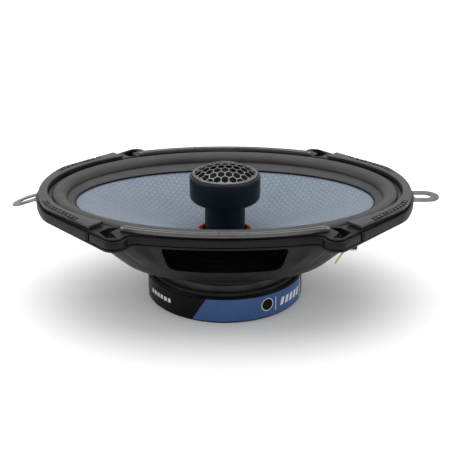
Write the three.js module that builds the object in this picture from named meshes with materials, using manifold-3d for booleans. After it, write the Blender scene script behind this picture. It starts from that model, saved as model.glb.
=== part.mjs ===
// Coaxial car speaker of the 6x8 inch class: an oval woofer with a tweeter on a post over its middle.
// Millimetres, +Z up, +X along the long axis, front at -Y. The origin is the centre of the magnet
// boot's underside, so the speaker faces up and stands on its magnet.
import * as THREE from 'three';
import { mergeVertices } from 'three/addons/utils/BufferGeometryUtils.js';
import Module from 'manifold-3d';

const wasm = await Module();
wasm.setup();

// ---------------------------------------------------------------- driving dimensions
const GAP = 0.3; // clearance between pieces that sit against each other
const SEGMENTS = 32; // sides of the large turned pieces
const OVAL_SEGMENTS = 40; // sides of the oval pieces
const FINE_SEGMENTS = 24; // sides of the tweeter's pieces and the spider
const SMALL_SEGMENTS = 12; // sides of screws, rivets and leads

// Plan outline of the mounting flange, one quarter
const HALF_LENGTH = 112.5;
const EAR_HALF_WIDTH = 80;
const SIDE_HALF_WIDTH = 77.2;
const END_RADIUS = 76;
const END_ANGLE = THREE.MathUtils.degToRad(24);
const CORNER_RADIUS = 30;
const CHAMFER_ANGLE = THREE.MathUtils.degToRad(42.5);
const EAR_RADIUS = 7.5;
const SIDE_RADIUS = 220;
const SIDE_END_X = 48;

// Heights
const FLANGE_BOTTOM = 59.1;
const FLANGE_TOP = 60.3;
const RING_BOTTOM = FLANGE_TOP + GAP;
const RING_TOP = 66;
const LEDGE = 64; // where the surround's outer lip is glued down
const TRIM_TOP = 68.2;
const BASKET_FLOOR = 27;
const BASKET_BOTTOM = 22.3;
const SHEET = 1.2; // basket steel

// Ovals as [half length, half width]
const RING_OPENING = [106.5, 73];
const LEDGE_OPENING = [103.5, 71];
const BASKET_MOUTH = [104, 72.9];
const BASKET_FOOT = [66, 51.6];
const BASKET_BULGE = [85, 65]; // oval of the wall at BULGE_HEIGHT
const BULGE_HEIGHT = 44;
const FOOT_SQUARENESS = 2.3; // 2 is an ellipse
const ROLL_OUTER = [104, 71.5];
const ROLL_INNER = [94.5, 61.5];
const CONE_EDGE = [90.5, 53.5];

// Woofer
const NECK_RADIUS = 14.3;
const NECK_HEIGHT = 39.2;
const CONE_EDGE_HEIGHT = 58.7;
const FORMER_INNER = 13.6;
const FORMER_OUTER = 13.9;
const FORMER_TOP = 40.4;
const COIL_RADIUS = 14.4;

// Motor
const BOOT_RADIUS = 47.8;
const BOOT_HEIGHT = 16;
const MAGNET_RADIUS = 45;
const YOKE_RADIUS = 44;
const POLE_RADIUS = 13.1;
const POLE_TOP = 22.5;
const TOP_PLATE_RADIUS = 43;
const PLATE_RIVET_CIRCLE = 33;

// Tweeter
const POST_RADIUS = 12.3;
const POST_BORE = 9.5;
const POST_TOP = 58.9;
const HOUSING_RADIUS = 21.35;
const HOUSING_BOTTOM = 59.2;
const HOUSING_TOP = 75.4;
const GRILLE_APEX = 82.1;
const GRILLE_SPHERE = 32.3;
const GRILLE_PITCH = 4.6;
const GRILLE_HOLE = 3.8; // across flats

// End tabs: slotted loops
const TAB_WIDTH = 17;
const TAB_SLOT = 7;
const TAB_TIP = 129.5;
const TAB_THICKNESS = 1;
const TAB_BEND_LEFT = THREE.MathUtils.degToRad(18);

// Terminals, on a shelf pressed out of the right end of the basket
const TERMINAL_ANGLE = THREE.MathUtils.degToRad(-6);
const TERMINAL_CENTRE = [72.5, -5];
const TERMINAL_SPACING = 16;
const TERMINAL_RIVET_X = 5.4; // from TERMINAL_CENTRE, outward
const BOARD_THICKNESS = 1.6;
const SHELF_BOTTOM = 35.6;

// ---------------------------------------------------------------- materials
function material(color, roughness, metalness) {
  return new THREE.MeshStandardMaterial({ color, roughness, metalness });
}

const look = {
  paintedSteel: material(0x2c2c2e, 0.5, 0.3),
  plastic: material(0x343436, 0.55, 0),
  trimPlastic: material(0x48484a, 0.5, 0),
  rubber: material(0x3a3a3b, 0.65, 0),
  cone: material(0x8492a4, 0.5, 0),
  glossBlack: material(0x12161f, 0.3, 0),
  darkMetal: material(0x1b1b1d, 0.4, 0.8),
  zincSteel: material(0x9a9a98, 0.4, 0.9),
  tabSteel: material(0x8c8c8a, 0.35, 0.9),
  ferrite: material(0x232325, 0.85, 0),
  neodymium: material(0xb4b4b6, 0.3, 1),
  kapton: material(0xa8622a, 0.4, 0),
  copper: material(0xb5693a, 0.35, 0.9),
  spider: material(0xb89a4e, 0.9, 0),
  label: material(0x364e74, 0.45, 0),
  silk: material(0x2a2a30, 0.7, 0),
  board: material(0x5d3a20, 0.7, 0),
  brass: material(0xb39a5c, 0.35, 0.9),
  redWire: material(0xa82c20, 0.5, 0),
  orangeWire: material(0xb8702c, 0.5, 0),
};

// ---------------------------------------------------------------- geometry helpers
function signedVolume(geometry) {
  const position = geometry.attributes.position;
  const index = geometry.index;
  const [a, b, c] = [new THREE.Vector3(), new THREE.Vector3(), new THREE.Vector3()];
  let sum = 0;
  for (let i = 0; i < index.count; i += 3) {
    a.fromBufferAttribute(position, index.getX(i));
    b.fromBufferAttribute(position, index.getX(i + 1));
    c.fromBufferAttribute(position, index.getX(i + 2));
    sum += a.dot(b.cross(c)) / 6;
  }
  return sum;
}

// Shares the vertices, drops the empty triangles on an axis and turns the faces outward.
function closedBody(source) {
  source.deleteAttribute('normal');
  source.deleteAttribute('uv');
  const geometry = mergeVertices(source, 1e-4);
  const old = geometry.index.array;
  const kept = [];
  for (let i = 0; i < old.length; i += 3) {
    const [a, b, c] = [old[i], old[i + 1], old[i + 2]];
    if (a !== b && b !== c && c !== a) kept.push(a, b, c);
  }
  geometry.setIndex(kept);
  if (signedVolume(geometry) < 0) geometry.setIndex(kept.reverse());
  return geometry;
}

function solidOf(geometry) {
  const body = closedBody(geometry);
  return new wasm.Manifold(new wasm.Mesh({
    numProp: 3,
    vertProperties: new Float32Array(body.attributes.position.array),
    triVerts: new Uint32Array(body.index.array),
  }));
}

function geometryOf(solid) {
  const mesh = solid.getMesh();
  const geometry = new THREE.BufferGeometry();
  geometry.setAttribute('position', new THREE.BufferAttribute(mesh.vertProperties, 3));
  geometry.setIndex(new THREE.BufferAttribute(mesh.triVerts, 1));
  return geometry;
}

function cut(body, ...tools) {
  return geometryOf(tools.reduce((rest, tool) => rest.subtract(solidOf(tool)), solidOf(body)));
}

function join(...bodies) {
  return geometryOf(bodies.map(solidOf).reduce((whole, body) => whole.add(body)));
}

function shared(bodyA, bodyB) {
  return geometryOf(solidOf(bodyA).intersect(solidOf(bodyB)));
}

// Turns a profile of [radius, height] points about Z. The profile closes itself.
function turned(profile, segments = SEGMENTS) {
  return ovalTurned(profile.map(([radius, height]) => [radius, radius, height]), segments);
}

// Turns a profile of [half length, half width, height] points, so every section is an ellipse.
// Turned body whose sections are ovals: [half length, half width, height, squareness].
function ovalTurned(profile, segments = OVAL_SEGMENTS) {
  const onAxis = profile[0][0] === 0 && profile.at(-1)[0] === 0;
  const loop = onAxis ? profile : [...profile, profile[0]];
  const geometry = new THREE.LatheGeometry(loop.map(([a, , z]) => new THREE.Vector2(a, z)), segments);
  const position = geometry.attributes.position;
  for (let i = 0; i < position.count; i += 1) {
    const [a, b, , squareness = 2] = loop[i % loop.length];
    if (a > 0) {
      const [x, y] = [position.getX(i) / a, position.getZ(i) / a];
      const reach = (Math.abs(x) ** squareness + Math.abs(y) ** squareness) ** (-1 / squareness);
      position.setX(i, x * reach * a);
      position.setZ(i, y * reach * b);
    }
  }
  return closedBody(geometry.rotateX(Math.PI / 2));
}

function plate(outline, bottom, top, curveSegments = 6) {
  const shape = Array.isArray(outline) ? new THREE.Shape(outline) : outline;
  const options = { depth: top - bottom, bevelEnabled: false, curveSegments };
  return closedBody(new THREE.ExtrudeGeometry(shape, options).translate(0, 0, bottom));
}

function box(x0, x1, y0, y1, z0, z1) {
  const geometry = new THREE.BoxGeometry(x1 - x0, y1 - y0, z1 - z0);
  return closedBody(geometry.translate((x0 + x1) / 2, (y0 + y1) / 2, (z0 + z1) / 2));
}

function cylinder(radius, bottom, top, segments = SMALL_SEGMENTS) {
  return turned([[0, bottom], [radius, bottom], [radius, top], [0, top]], segments);
}

function ellipseOutline([a, b], inset = 0, count = OVAL_SEGMENTS) {
  const curve = new THREE.EllipseCurve(0, 0, a - inset, b - inset);
  return curve.getPoints(count).slice(0, -1);
}

function ovalPrism(oval, bottom, top, inset = 0) {
  return plate(ellipseOutline(oval, inset), bottom, top);
}

function tube(points, radius, steps, sides = 6) {
  const path = new THREE.CatmullRomCurve3(points.map((point) => new THREE.Vector3(...point)));
  const section = new THREE.Shape(new THREE.EllipseCurve(0, 0, radius, radius).getPoints(sides).slice(0, -1));
  return closedBody(new THREE.ExtrudeGeometry(section, { steps, extrudePath: path }));
}

// ---------------------------------------------------------------- flange outline
// One quarter of the outline: end arc, corner, straight chamfer, ear nose, fillet, bowed long side.
function quarterOutline(inset, detail) {
  const endCentre = HALF_LENGTH - END_RADIUS;
  const step = END_RADIUS - CORNER_RADIUS;
  const cornerX = endCentre + step * Math.cos(END_ANGLE);
  const cornerY = step * Math.sin(END_ANGLE);
  const [nx, ny] = [Math.cos(CHAMFER_ANGLE), Math.sin(CHAMFER_ANGLE)];
  const chamferDistance = nx * cornerX + ny * cornerY + CORNER_RADIUS;
  const earY = EAR_HALF_WIDTH - EAR_RADIUS;
  const earX = (chamferDistance - EAR_RADIUS - ny * earY) / nx;
  const sideCentre = SIDE_HALF_WIDTH - SIDE_RADIUS;
  const sideAngle = Math.acos(SIDE_END_X / SIDE_RADIUS);
  const sideEnd = sideCentre + SIDE_RADIUS * Math.sin(sideAngle);
  const path = new THREE.Path();
  path.absarc(endCentre, 0, END_RADIUS - inset, 0, END_ANGLE, false);
  path.absarc(cornerX, cornerY, CORNER_RADIUS - inset, END_ANGLE, CHAMFER_ANGLE, false);
  path.absarc(earX, earY, EAR_RADIUS - inset, CHAMFER_ANGLE, Math.PI * 0.94, false);
  path.quadraticCurveTo(earX - EAR_RADIUS, sideEnd - inset, SIDE_END_X, sideEnd - inset);
  path.absarc(0, sideCentre, SIDE_RADIUS - inset, sideAngle, Math.PI / 2, false);
  return path.getPoints(detail);
}

function flangeOutline(inset = 0, detail = 3) {
  const quarter = quarterOutline(inset, detail);
  const flip = (points, sx, sy) => points.map((point) => new THREE.Vector2(point.x * sx, point.y * sy));
  const whole = [
    ...quarter,
    ...flip(quarter, -1, 1).reverse(),
    ...flip(quarter, -1, -1),
    ...flip(quarter, 1, -1).reverse(),
  ];
  return whole.filter((point, i) => point.distanceTo(whole[(i + 1) % whole.length]) > 0.05);
}

// The arrow-shaped screw hole of one ear, its tip pointing away from the middle.
function chevronOutline(sx, sy) {
  const points = [[68.2, 67.6], [63.2, 75.6], [57.6, 75.6], [61.9, 67.6], [57.9, 61.8], [63.6, 61.8]];
  return points.map(([x, y]) => new THREE.Vector2(x * sx, y * sy));
}

const CORNERS = [[1, 1], [-1, 1], [-1, -1], [1, -1]];

function chevrons(bottom, top) {
  return CORNERS.map(([sx, sy]) => plate(chevronOutline(sx, sy), bottom, top));
}

// ---------------------------------------------------------------- basket
const shelfTop = SHELF_BOTTOM + SHEET;

// Puts a piece drawn round the shelf's middle, +X outward, in its place on the basket.
function atTerminals(geometry) {
  return geometry.rotateZ(TERMINAL_ANGLE).translate(...TERMINAL_CENTRE, 0);
}

function terminalHole() {
  return cylinder(1.3, SHELF_BOTTOM - 5, shelfTop + 1, 12).translate(TERMINAL_RIVET_X, 0, 0);
}

function windowOutline(topHalf, bottomHalf, bottom, top, corner) {
  const shape = new THREE.Shape();
  shape.moveTo(-topHalf + corner, top);
  shape.lineTo(topHalf - corner, top);
  shape.quadraticCurveTo(topHalf, top, topHalf - 1, top - corner);
  shape.lineTo(bottomHalf + 1, bottom + corner);
  shape.quadraticCurveTo(bottomHalf, bottom, bottomHalf - corner, bottom);
  shape.lineTo(-bottomHalf + corner, bottom);
  shape.quadraticCurveTo(-bottomHalf, bottom, -bottomHalf - 1, bottom + corner);
  shape.lineTo(-topHalf + 1, top - corner);
  shape.quadraticCurveTo(-topHalf, top, -topHalf + corner, top);
  return shape;
}

function basketInside(grow = 0) {
  const [a, b] = [BASKET_MOUTH[0] - 1.6 + grow, BASKET_MOUTH[1] - 1.4 + grow];
  const [bulgeA, bulgeB] = [BASKET_BULGE[0] - 1.6 + grow, BASKET_BULGE[1] - 1.4 + grow];
  return [
    [a, b, FLANGE_TOP],
    [bulgeA, bulgeB, BULGE_HEIGHT + 0.4],
    [64.6 + grow, 50.4 + grow, 30, FOOT_SQUARENESS],
    [62.6 + grow, 49.5 + grow, 28.8, FOOT_SQUARENESS],
  ];
}

function basket() {
  const cupRadius = 44;
  const [floorTop, baseTop] = [BASKET_FLOOR + SHEET, BASKET_BOTTOM + SHEET];
  const shell = ovalTurned([
    [20, 20, BASKET_BOTTOM],
    [cupRadius, cupRadius, BASKET_BOTTOM],
    [cupRadius, cupRadius, BASKET_FLOOR],
    [60.5, 48.2, BASKET_FLOOR, FOOT_SQUARENESS],
    [64.2, 50.4, 27.5, FOOT_SQUARENESS],
    [...BASKET_FOOT, 29, FOOT_SQUARENESS],
    [...BASKET_BULGE, BULGE_HEIGHT],
    [...BASKET_MOUTH, 59.6],
    [...BASKET_MOUTH, FLANGE_TOP],
    ...basketInside(),
    [60.2, 47.6, floorTop, FOOT_SQUARENESS],
    [cupRadius - SHEET, cupRadius - SHEET, floorTop],
    [cupRadius - SHEET, cupRadius - SHEET, baseTop],
    [20, 20, baseTop],
  ]);
  const flange = plate(flangeOutline(), FLANGE_BOTTOM, FLANGE_TOP);
  const mouth = ovalPrism(BASKET_MOUTH, FLANGE_BOTTOM - 1, FLANGE_TOP + 1, 1);
  const shelf = atTerminals(box(-6, 8, -12.5, 12.5, SHELF_BOTTOM, shelfTop));
  const hollow = ovalTurned([[0, 0, 29], ...basketInside(0.6).reverse(), [0, 0, FLANGE_TOP]]);
  const sideWindow = plate(windowOutline(33, 27, 37, 57, 5), -100, 100, 2);
  const endWindow = plate(windowOutline(25, 21, 42.5, 56.5, 5), -130, 130, 2);
  return cut(
    join(shell, cut(flange, mouth), cut(shelf, hollow)),
    sideWindow.rotateX(Math.PI / 2),
    endWindow.rotateX(Math.PI / 2).rotateZ(Math.PI / 2),
    ...chevrons(FLANGE_BOTTOM - 1, FLANGE_TOP + 1),
    ...plateRivetPlaces.map(([x, y]) => cylinder(2.1, BASKET_BOTTOM - 1, baseTop + 1).translate(x, y, 0)),
    atTerminals(box(-5, 9, -10.5, 10.5, shelfTop, shelfTop + 3)),
    ...terminalPlaces.map((y) => atTerminals(terminalHole().translate(0, y, 0))),
    ...[-1, 1].map((side) => cylinder(1.6, FLANGE_BOTTOM - 1, FLANGE_TOP + 1).translate(side * TAB_RIVET_X, 0, 0)),
  );
}

const TAB_RIVET_X = 108;
const terminalPlaces = [-TERMINAL_SPACING / 2, TERMINAL_SPACING / 2];
const plateRivetPlaces = [0, 1, 2, 3].map((i) => {
  const angle = Math.PI / 4 + (i * Math.PI) / 2;
  return [PLATE_RIVET_CIRCLE * Math.cos(angle), PLATE_RIVET_CIRCLE * Math.sin(angle)];
});

// ---------------------------------------------------------------- mounting ring and trims
const TAB_BOTTOM = RING_BOTTOM;
const tabTop = TAB_BOTTOM + TAB_THICKNESS;

// The short upright notch that parts an ear from the end skirt.
function skirtNotch(sx, sy) {
  const notch = box(-0.8, 0.8, -1.6, 1.6, RING_BOTTOM - 1, RING_TOP + 1);
  const [x, y] = [74.2, 68.2];
  return notch.rotateZ(sx * sy * (CHAMFER_ANGLE - Math.PI / 2)).translate(sx * x, sy * y, 0);
}

function mountingRing() {
  const pockets = [-1, 1].flatMap((side) => {
    const [x0, x1] = [side * 105.1, side * 116];
    const half = TAB_WIDTH / 2 + GAP;
    return [
      box(Math.min(x0, x1), Math.max(x0, x1), -half, half, RING_BOTTOM - 1, tabTop + GAP),
      cylinder(3, tabTop, tabTop + 1.6).translate(side * TAB_RIVET_X, 0, 0),
    ];
  });
  return cut(
    plate(flangeOutline(), RING_BOTTOM, RING_TOP),
    ovalPrism(RING_OPENING, LEDGE, RING_TOP + 1),
    ovalPrism(LEDGE_OPENING, RING_BOTTOM - 1, RING_TOP),
    ...chevrons(RING_BOTTOM - 1, RING_TOP + 1),
    ...CORNERS.map(([sx, sy]) => skirtNotch(sx, sy)),
    ...pockets,
  );
}

// Raised bands on top of the ring: a C-shaped cap round each end and a strip along each long side.
function endTrim(side) {
  const cutLine = 9.7; // the cap's ends are cut along y = x - cutLine
  const reach = 130;
  const wedge = [[cutLine, 0], [reach, cutLine - reach], [reach, reach - cutLine]];
  const region = plate(wedge.map(([x, y]) => new THREE.Vector2(x * side, y)), RING_TOP + GAP, TRIM_TOP);
  const band = cut(
    plate(flangeOutline(1), RING_TOP + GAP, TRIM_TOP),
    ovalPrism(RING_OPENING, RING_TOP, TRIM_TOP + 1),
  );
  return shared(band, region);
}

function sideTrim(side) {
  const halfSpan = 55;
  const outerRadius = 168;
  const outerMiddle = 76.8;
  const outerY = (x) => outerMiddle - outerRadius + Math.sqrt(outerRadius ** 2 - x * x);
  const innerY = (x) => RING_OPENING[1] * Math.sqrt(1 - (x / RING_OPENING[0]) ** 2);
  const count = 12;
  const xs = Array.from({ length: count + 1 }, (_, i) => halfSpan * ((2 * i) / count - 1));
  const outer = xs.map((x) => new THREE.Vector2(x, outerY(x) * side));
  const inner = xs.map((x) => new THREE.Vector2(x, innerY(x) * side)).reverse();
  const nose = (x) => new THREE.Vector2(x, ((outerY(halfSpan) + innerY(halfSpan)) / 2) * side);
  return plate([...outer, nose(halfSpan + 2), ...inner, nose(-halfSpan - 2)], RING_TOP + GAP, TRIM_TOP);
}

// ---------------------------------------------------------------- end tabs
function mountingTab(side, bend) {
  const bendX = 113.2;
  const rootX = 105.4;
  const half = TAB_WIDTH / 2;
  const slotHalf = TAB_SLOT / 2;
  const noseX = TAB_TIP - half;
  const loop = new THREE.Shape();
  loop.moveTo(bendX - 0.2, -half);
  loop.lineTo(noseX, -half);
  loop.absarc(noseX, 0, half, -Math.PI / 2, Math.PI / 2, false);
  loop.lineTo(bendX - 0.2, half);
  const slot = new THREE.Shape();
  slot.moveTo(bendX + 1.2, -slotHalf);
  slot.lineTo(noseX, -slotHalf);
  slot.absarc(noseX, 0, slotHalf, -Math.PI / 2, Math.PI / 2, false);
  slot.lineTo(bendX + 1.2, slotHalf);
  const outer = cut(plate(loop, TAB_BOTTOM, tabTop), plate(slot, TAB_BOTTOM - 1, tabTop + 1));
  outer.translate(-bendX, 0, -TAB_BOTTOM).rotateY(bend).translate(bendX, 0, TAB_BOTTOM);
  const root = cut(
    box(rootX, bendX, -half, half, TAB_BOTTOM, tabTop),
    cylinder(1.6, TAB_BOTTOM - 1, tabTop + 1).translate(TAB_RIVET_X, 0, 0),
  );
  return side > 0 ? join(root, outer) : join(root, outer).rotateZ(Math.PI);
}

function rivet(shank, head, bottom, top, headHeight) {
  return turned([
    [0, bottom - headHeight],
    [head * 0.7, bottom - headHeight],
    [head, bottom],
    [shank, bottom],
    [shank, top],
    [head, top],
    [head * 0.7, top + headHeight],
    [0, top + headHeight],
  ], 12);
}

// ---------------------------------------------------------------- woofer
const mix = THREE.MathUtils.lerp;

// Height of the cone's upper face at a fraction of the way from neck to edge.
function coneHeight(t) {
  return mix(NECK_HEIGHT, CONE_EDGE_HEIGHT, t ** 1.15);
}

function cone() {
  const thickness = 0.9;
  const steps = 3;
  const upper = Array.from({ length: steps + 1 }, (_, i) => {
    const t = i / steps;
    return [mix(NECK_RADIUS, CONE_EDGE[0], t), mix(NECK_RADIUS, CONE_EDGE[1], t), coneHeight(t)];
  });
  // Outside the visible edge the cone carries on beneath the surround's inner lip.
  upper.push([ROLL_INNER[0] - 0.6, ROLL_INNER[1] - 0.6, 61.1]);
  const lower = upper.map(([a, b, z]) => [a, b, z - thickness]).reverse();
  return ovalTurned([...upper, ...lower]);
}

function surround() {
  const thickness = 0.7;
  const rollHeight = 2.9;
  const [outerFoot, innerFoot] = [64.7, 62.2];
  const steps = 6;
  const roll = Array.from({ length: steps + 1 }, (_, i) => {
    const t = i / steps;
    const across = (1 - Math.cos(Math.PI * t)) / 2;
    const z = mix(outerFoot, innerFoot, t) + rollHeight * Math.sin(Math.PI * t);
    return [mix(ROLL_OUTER[0], ROLL_INNER[0], across), mix(ROLL_OUTER[1], ROLL_INNER[1], across), z];
  });
  const upper = [[106.2, 72.7, outerFoot], ...roll, [...CONE_EDGE, CONE_EDGE_HEIGHT + 1]];
  const lower = upper.map(([a, b, z]) => [a, b, z - thickness]).reverse();
  return ovalTurned([...upper, ...lower]);
}

function spider() {
  const thickness = 0.5;
  const waves = 2;
  const steps = 8;
  const [innerRadius, outerRadius] = [15.6, 44.6];
  const [innerZ, outerZ] = [33.4, 29.2];
  const upper = [[COIL_RADIUS - 0.2, innerZ + 1.2]];
  for (let i = 0; i <= steps; i += 1) {
    const t = i / steps;
    const wave = 0.8 * Math.sin(Math.PI * 2 * waves * t);
    upper.push([mix(innerRadius, outerRadius, t), mix(innerZ, outerZ, t) + wave]);
  }
  upper.push([49, outerZ]);
  const lower = upper.map(([r, z]) => [r, z - thickness]);
  return turned([...upper, ...lower.reverse()], FINE_SEGMENTS);
}

function voiceCoilFormer() {
  const bottom = 11;
  return turned([
    [FORMER_INNER, bottom],
    [FORMER_OUTER, bottom],
    [FORMER_OUTER, FORMER_TOP],
    [FORMER_INNER, FORMER_TOP],
  ]);
}

function voiceCoil() {
  const inner = FORMER_OUTER + 0.1;
  return turned([[inner, 12.5], [COIL_RADIUS, 12.5], [COIL_RADIUS, 26.5], [inner, 26.5]]);
}

// ---------------------------------------------------------------- motor
const yokeBottom = 1.8;
const yokeTop = 6;

function magnetBoot() {
  const wall = 2.5;
  const floor = 1.5;
  return turned([
    [8, 0],
    [BOOT_RADIUS - 0.8, 0],
    [BOOT_RADIUS, 0.8],
    [BOOT_RADIUS, BOOT_HEIGHT - 0.6],
    [BOOT_RADIUS - 0.6, BOOT_HEIGHT],
    [BOOT_RADIUS - wall, BOOT_HEIGHT],
    [BOOT_RADIUS - wall, floor],
    [8, floor],
  ]);
}

function label() {
  const [inner, outer] = [BOOT_RADIUS + GAP, BOOT_RADIUS + GAP + 0.3];
  const [start, end] = [-165, -18].map(THREE.MathUtils.degToRad);
  const shape = new THREE.Shape();
  shape.absarc(0, 0, outer, start, end, false);
  shape.absarc(0, 0, inner, end, start, true);
  return plate(shape, 1.2, BOOT_HEIGHT - 0.9, 14);
}

function yoke() {
  const bore = 2.8;
  const recess = 6;
  return turned([
    [bore, 5],
    [recess, 5],
    [recess, yokeBottom],
    [YOKE_RADIUS, yokeBottom],
    [YOKE_RADIUS, yokeTop],
    [POLE_RADIUS, yokeTop],
    [POLE_RADIUS, POLE_TOP],
    [bore, POLE_TOP],
  ]);
}

function magnet() {
  const [bottom, top] = [yokeTop + GAP, 17];
  return turned([
    [22, bottom],
    [MAGNET_RADIUS - 1, bottom],
    [MAGNET_RADIUS, bottom + 1],
    [MAGNET_RADIUS, top - 1],
    [MAGNET_RADIUS - 1, top],
    [22, top],
  ]);
}

function topPlate() {
  const [bottom, top] = [17 + GAP, 22];
  const bore = 14.8;
  const body = turned([[bore, bottom], [TOP_PLATE_RADIUS, bottom], [TOP_PLATE_RADIUS, top], [bore, top]]);
  return cut(body, ...plateRivetPlaces.map(([x, y]) => cylinder(2.1, 18.6, top + 1).translate(x, y, 0)));
}

function plateRivet() {
  const headBottom = BASKET_BOTTOM + SHEET + 0.2;
  return turned([
    [0, 18.9],
    [1.8, 18.9],
    [1.8, headBottom],
    [3.4, headBottom],
    [2.6, headBottom + 1.1],
    [0, headBottom + 1.3],
  ], SMALL_SEGMENTS);
}

// ---------------------------------------------------------------- tweeter
const LEAD_HEIGHT = 43.2;

function tweeterPost() {
  const floor = 25;
  const body = turned([
    [2.8, POLE_TOP + GAP],
    [POST_RADIUS, POLE_TOP + GAP],
    [POST_RADIUS, POST_TOP],
    [POST_BORE, POST_TOP],
    [POST_BORE, floor],
    [2.8, floor],
  ]);
  const leadHole = cylinder(1.3, -20, 20).rotateY(Math.PI / 2).translate(0, 0, LEAD_HEIGHT);
  return cut(body, leadHole);
}

function postScrew() {
  return turned([[0, 2.1], [5, 2.1], [5, 4.7], [2.4, 4.7], [2.4, 30], [0, 30]], SMALL_SEGMENTS);
}

function postNut() {
  const hexagon = new THREE.EllipseCurve(0, 0, 4.6, 4.6).getPoints(6).slice(0, -1);
  return cut(plate(hexagon, 25.3, 29.3), cylinder(2.7, 24, 31));
}

function tweeterHousing() {
  const round = 3.25;
  const corner = Array.from({ length: 4 }, (_, i) => {
    const angle = (Math.PI / 2) * (i / 3);
    return [HOUSING_RADIUS - round + round * Math.sin(angle), HOUSING_BOTTOM + round - round * Math.cos(angle)];
  });
  return turned([
    [7, 55.2],
    [9.2, 55.2],
    [9.2, HOUSING_BOTTOM],
    ...corner,
    [HOUSING_RADIUS, HOUSING_TOP - 0.9],
    [HOUSING_RADIUS - 0.9, HOUSING_TOP],
    [19.9, HOUSING_TOP],
    [19.9, 74.2],
    [19, 74.2],
    [19, 70.8],
    [17, 70.8],
    [17, 62.6],
    [7, 62.6],
  ], FINE_SEGMENTS);
}

function tweeterGrille() {
  const centreZ = GRILLE_APEX - GRILLE_SPHERE;
  const dome = (radius, edge) => Array.from({ length: 4 }, (_, i) => {
    const angle = Math.asin(edge / radius) * (i / 3);
    return [radius * Math.sin(angle), centreZ + radius * Math.cos(angle)];
  });
  const outer = dome(GRILLE_SPHERE, 18.6);
  const inner = dome(GRILLE_SPHERE - 0.9, 18).reverse();
  const body = turned([...outer, [19.6, 76], [19.6, 74.5], [18, 74.5], ...inner], SMALL_SEGMENTS * 1.5);
  const hexagon = new THREE.EllipseCurve(0, 0, GRILLE_HOLE / Math.sqrt(3), GRILLE_HOLE / Math.sqrt(3));
  const corners = hexagon.getPoints(6).slice(0, -1).map(({ x, y }) => new THREE.Vector2(y, x)).reverse();
  const holes = [];
  for (let row = -4; row <= 4; row += 1) {
    for (let column = -4; column <= 4; column += 1) {
      const x = (column + (Math.abs(row) % 2) / 2) * GRILLE_PITCH;
      const y = row * GRILLE_PITCH * Math.cos(Math.PI / 6);
      if (Math.hypot(x, y) < 15.9) holes.push(plate(corners, 74, 90).translate(x, y, 0));
    }
  }
  return cut(body, ...holes);
}

function dome() {
  const [radius, height, bottom, thickness] = [10.7, 4, 73, 0.4];
  const sphere = (radius ** 2 + height ** 2) / (2 * height);
  const arc = Array.from({ length: 4 }, (_, i) => {
    const angle = Math.asin(radius / sphere) * (i / 3);
    return [sphere * Math.sin(angle), bottom + height - sphere + sphere * Math.cos(angle)];
  });
  const inside = arc.map(([r, z]) => [r, z - thickness]).reverse();
  return turned([...arc, ...inside], FINE_SEGMENTS);
}

function tweeterSurround() {
  const thickness = 0.3;
  const arc = Array.from({ length: 4 }, (_, i) => {
    const t = i / 3;
    return [mix(11, 13.8, t), mix(73, 72.9, t) + 1.2 * Math.sin(Math.PI * t)];
  });
  const upper = [...arc, [15.4, 72.9]];
  return turned([...upper, ...upper.map(([r, z]) => [r, z - thickness]).reverse()], FINE_SEGMENTS);
}

function tweeterFaceplate() {
  return turned([[13.7, 71.1], [18.7, 71.1], [18.7, 72.3], [13.7, 72.3]], FINE_SEGMENTS);
}

function tweeterVoiceCoil() {
  return turned([[10.05, 67.9], [10.6, 67.9], [10.6, 72.3], [10.05, 72.3]], FINE_SEGMENTS);
}

function tweeterYoke() {
  return turned([[0, 62.9], [13, 62.9], [13, 70.3], [11.2, 70.3], [11.2, 64.7], [0, 64.7]], FINE_SEGMENTS);
}

const tweeterMagnet = () => cylinder(9, 65, 68.3, FINE_SEGMENTS);
const tweeterPlate = () => cylinder(9.6, 68.6, 70.3, FINE_SEGMENTS);

// A lead from the tweeter comes out of the post over the cone's neck and ends on the cone.
function tweeterLead(side) {
  return tube([
    [side * 5.4, 0, 61.1],
    [side * 5.6, 0, 54],
    [side * 8.2, 0, 44.4],
    [side * 12.4, 0, 43],
    [side * 14.6, 0, 41.7],
    [side * 16.2, 0, 40.3],
  ], 0.5, 12);
}

// ---------------------------------------------------------------- terminals and crossover
function terminalBoard() {
  const top = SHELF_BOTTOM - GAP;
  const body = atTerminals(box(1.8, 8, -11.5, 11.5, top - BOARD_THICKNESS, top));
  return cut(body, ...terminalPlaces.map((y) => atTerminals(terminalHole().translate(0, y, 0))));
}

// A push-on blade: a foot riveted under the board and a leg that leans in on its way down.
function terminal(width, y) {
  const top = SHELF_BOTTOM - BOARD_THICKNESS - 2 * GAP;
  const foot = box(2, 7.8, y - 3, y + 3, top - 0.8, top);
  const leg = [[3, top], [1.4, top], [-4.9, 22.9], [-4.2, 22.5], [1.85, top - 0.8], [3, top - 0.8]];
  const profile = new THREE.Shape(leg.map(([x, z]) => new THREE.Vector2(x, z)));
  const blade = new THREE.ExtrudeGeometry(profile, { depth: width, bevelEnabled: false });
  const body = join(closedBody(blade.rotateX(Math.PI / 2).translate(0, y + width / 2, 0)), foot);
  return atTerminals(cut(body, terminalHole().translate(0, y, 0)));
}

function terminalRivet(y) {
  const bottom = SHELF_BOTTOM - BOARD_THICKNESS - 2 * GAP - 1;
  return atTerminals(rivet(1, 2, bottom, shelfTop + 0.2, 0.7).translate(TERMINAL_RIVET_X, y, 0));
}

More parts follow.
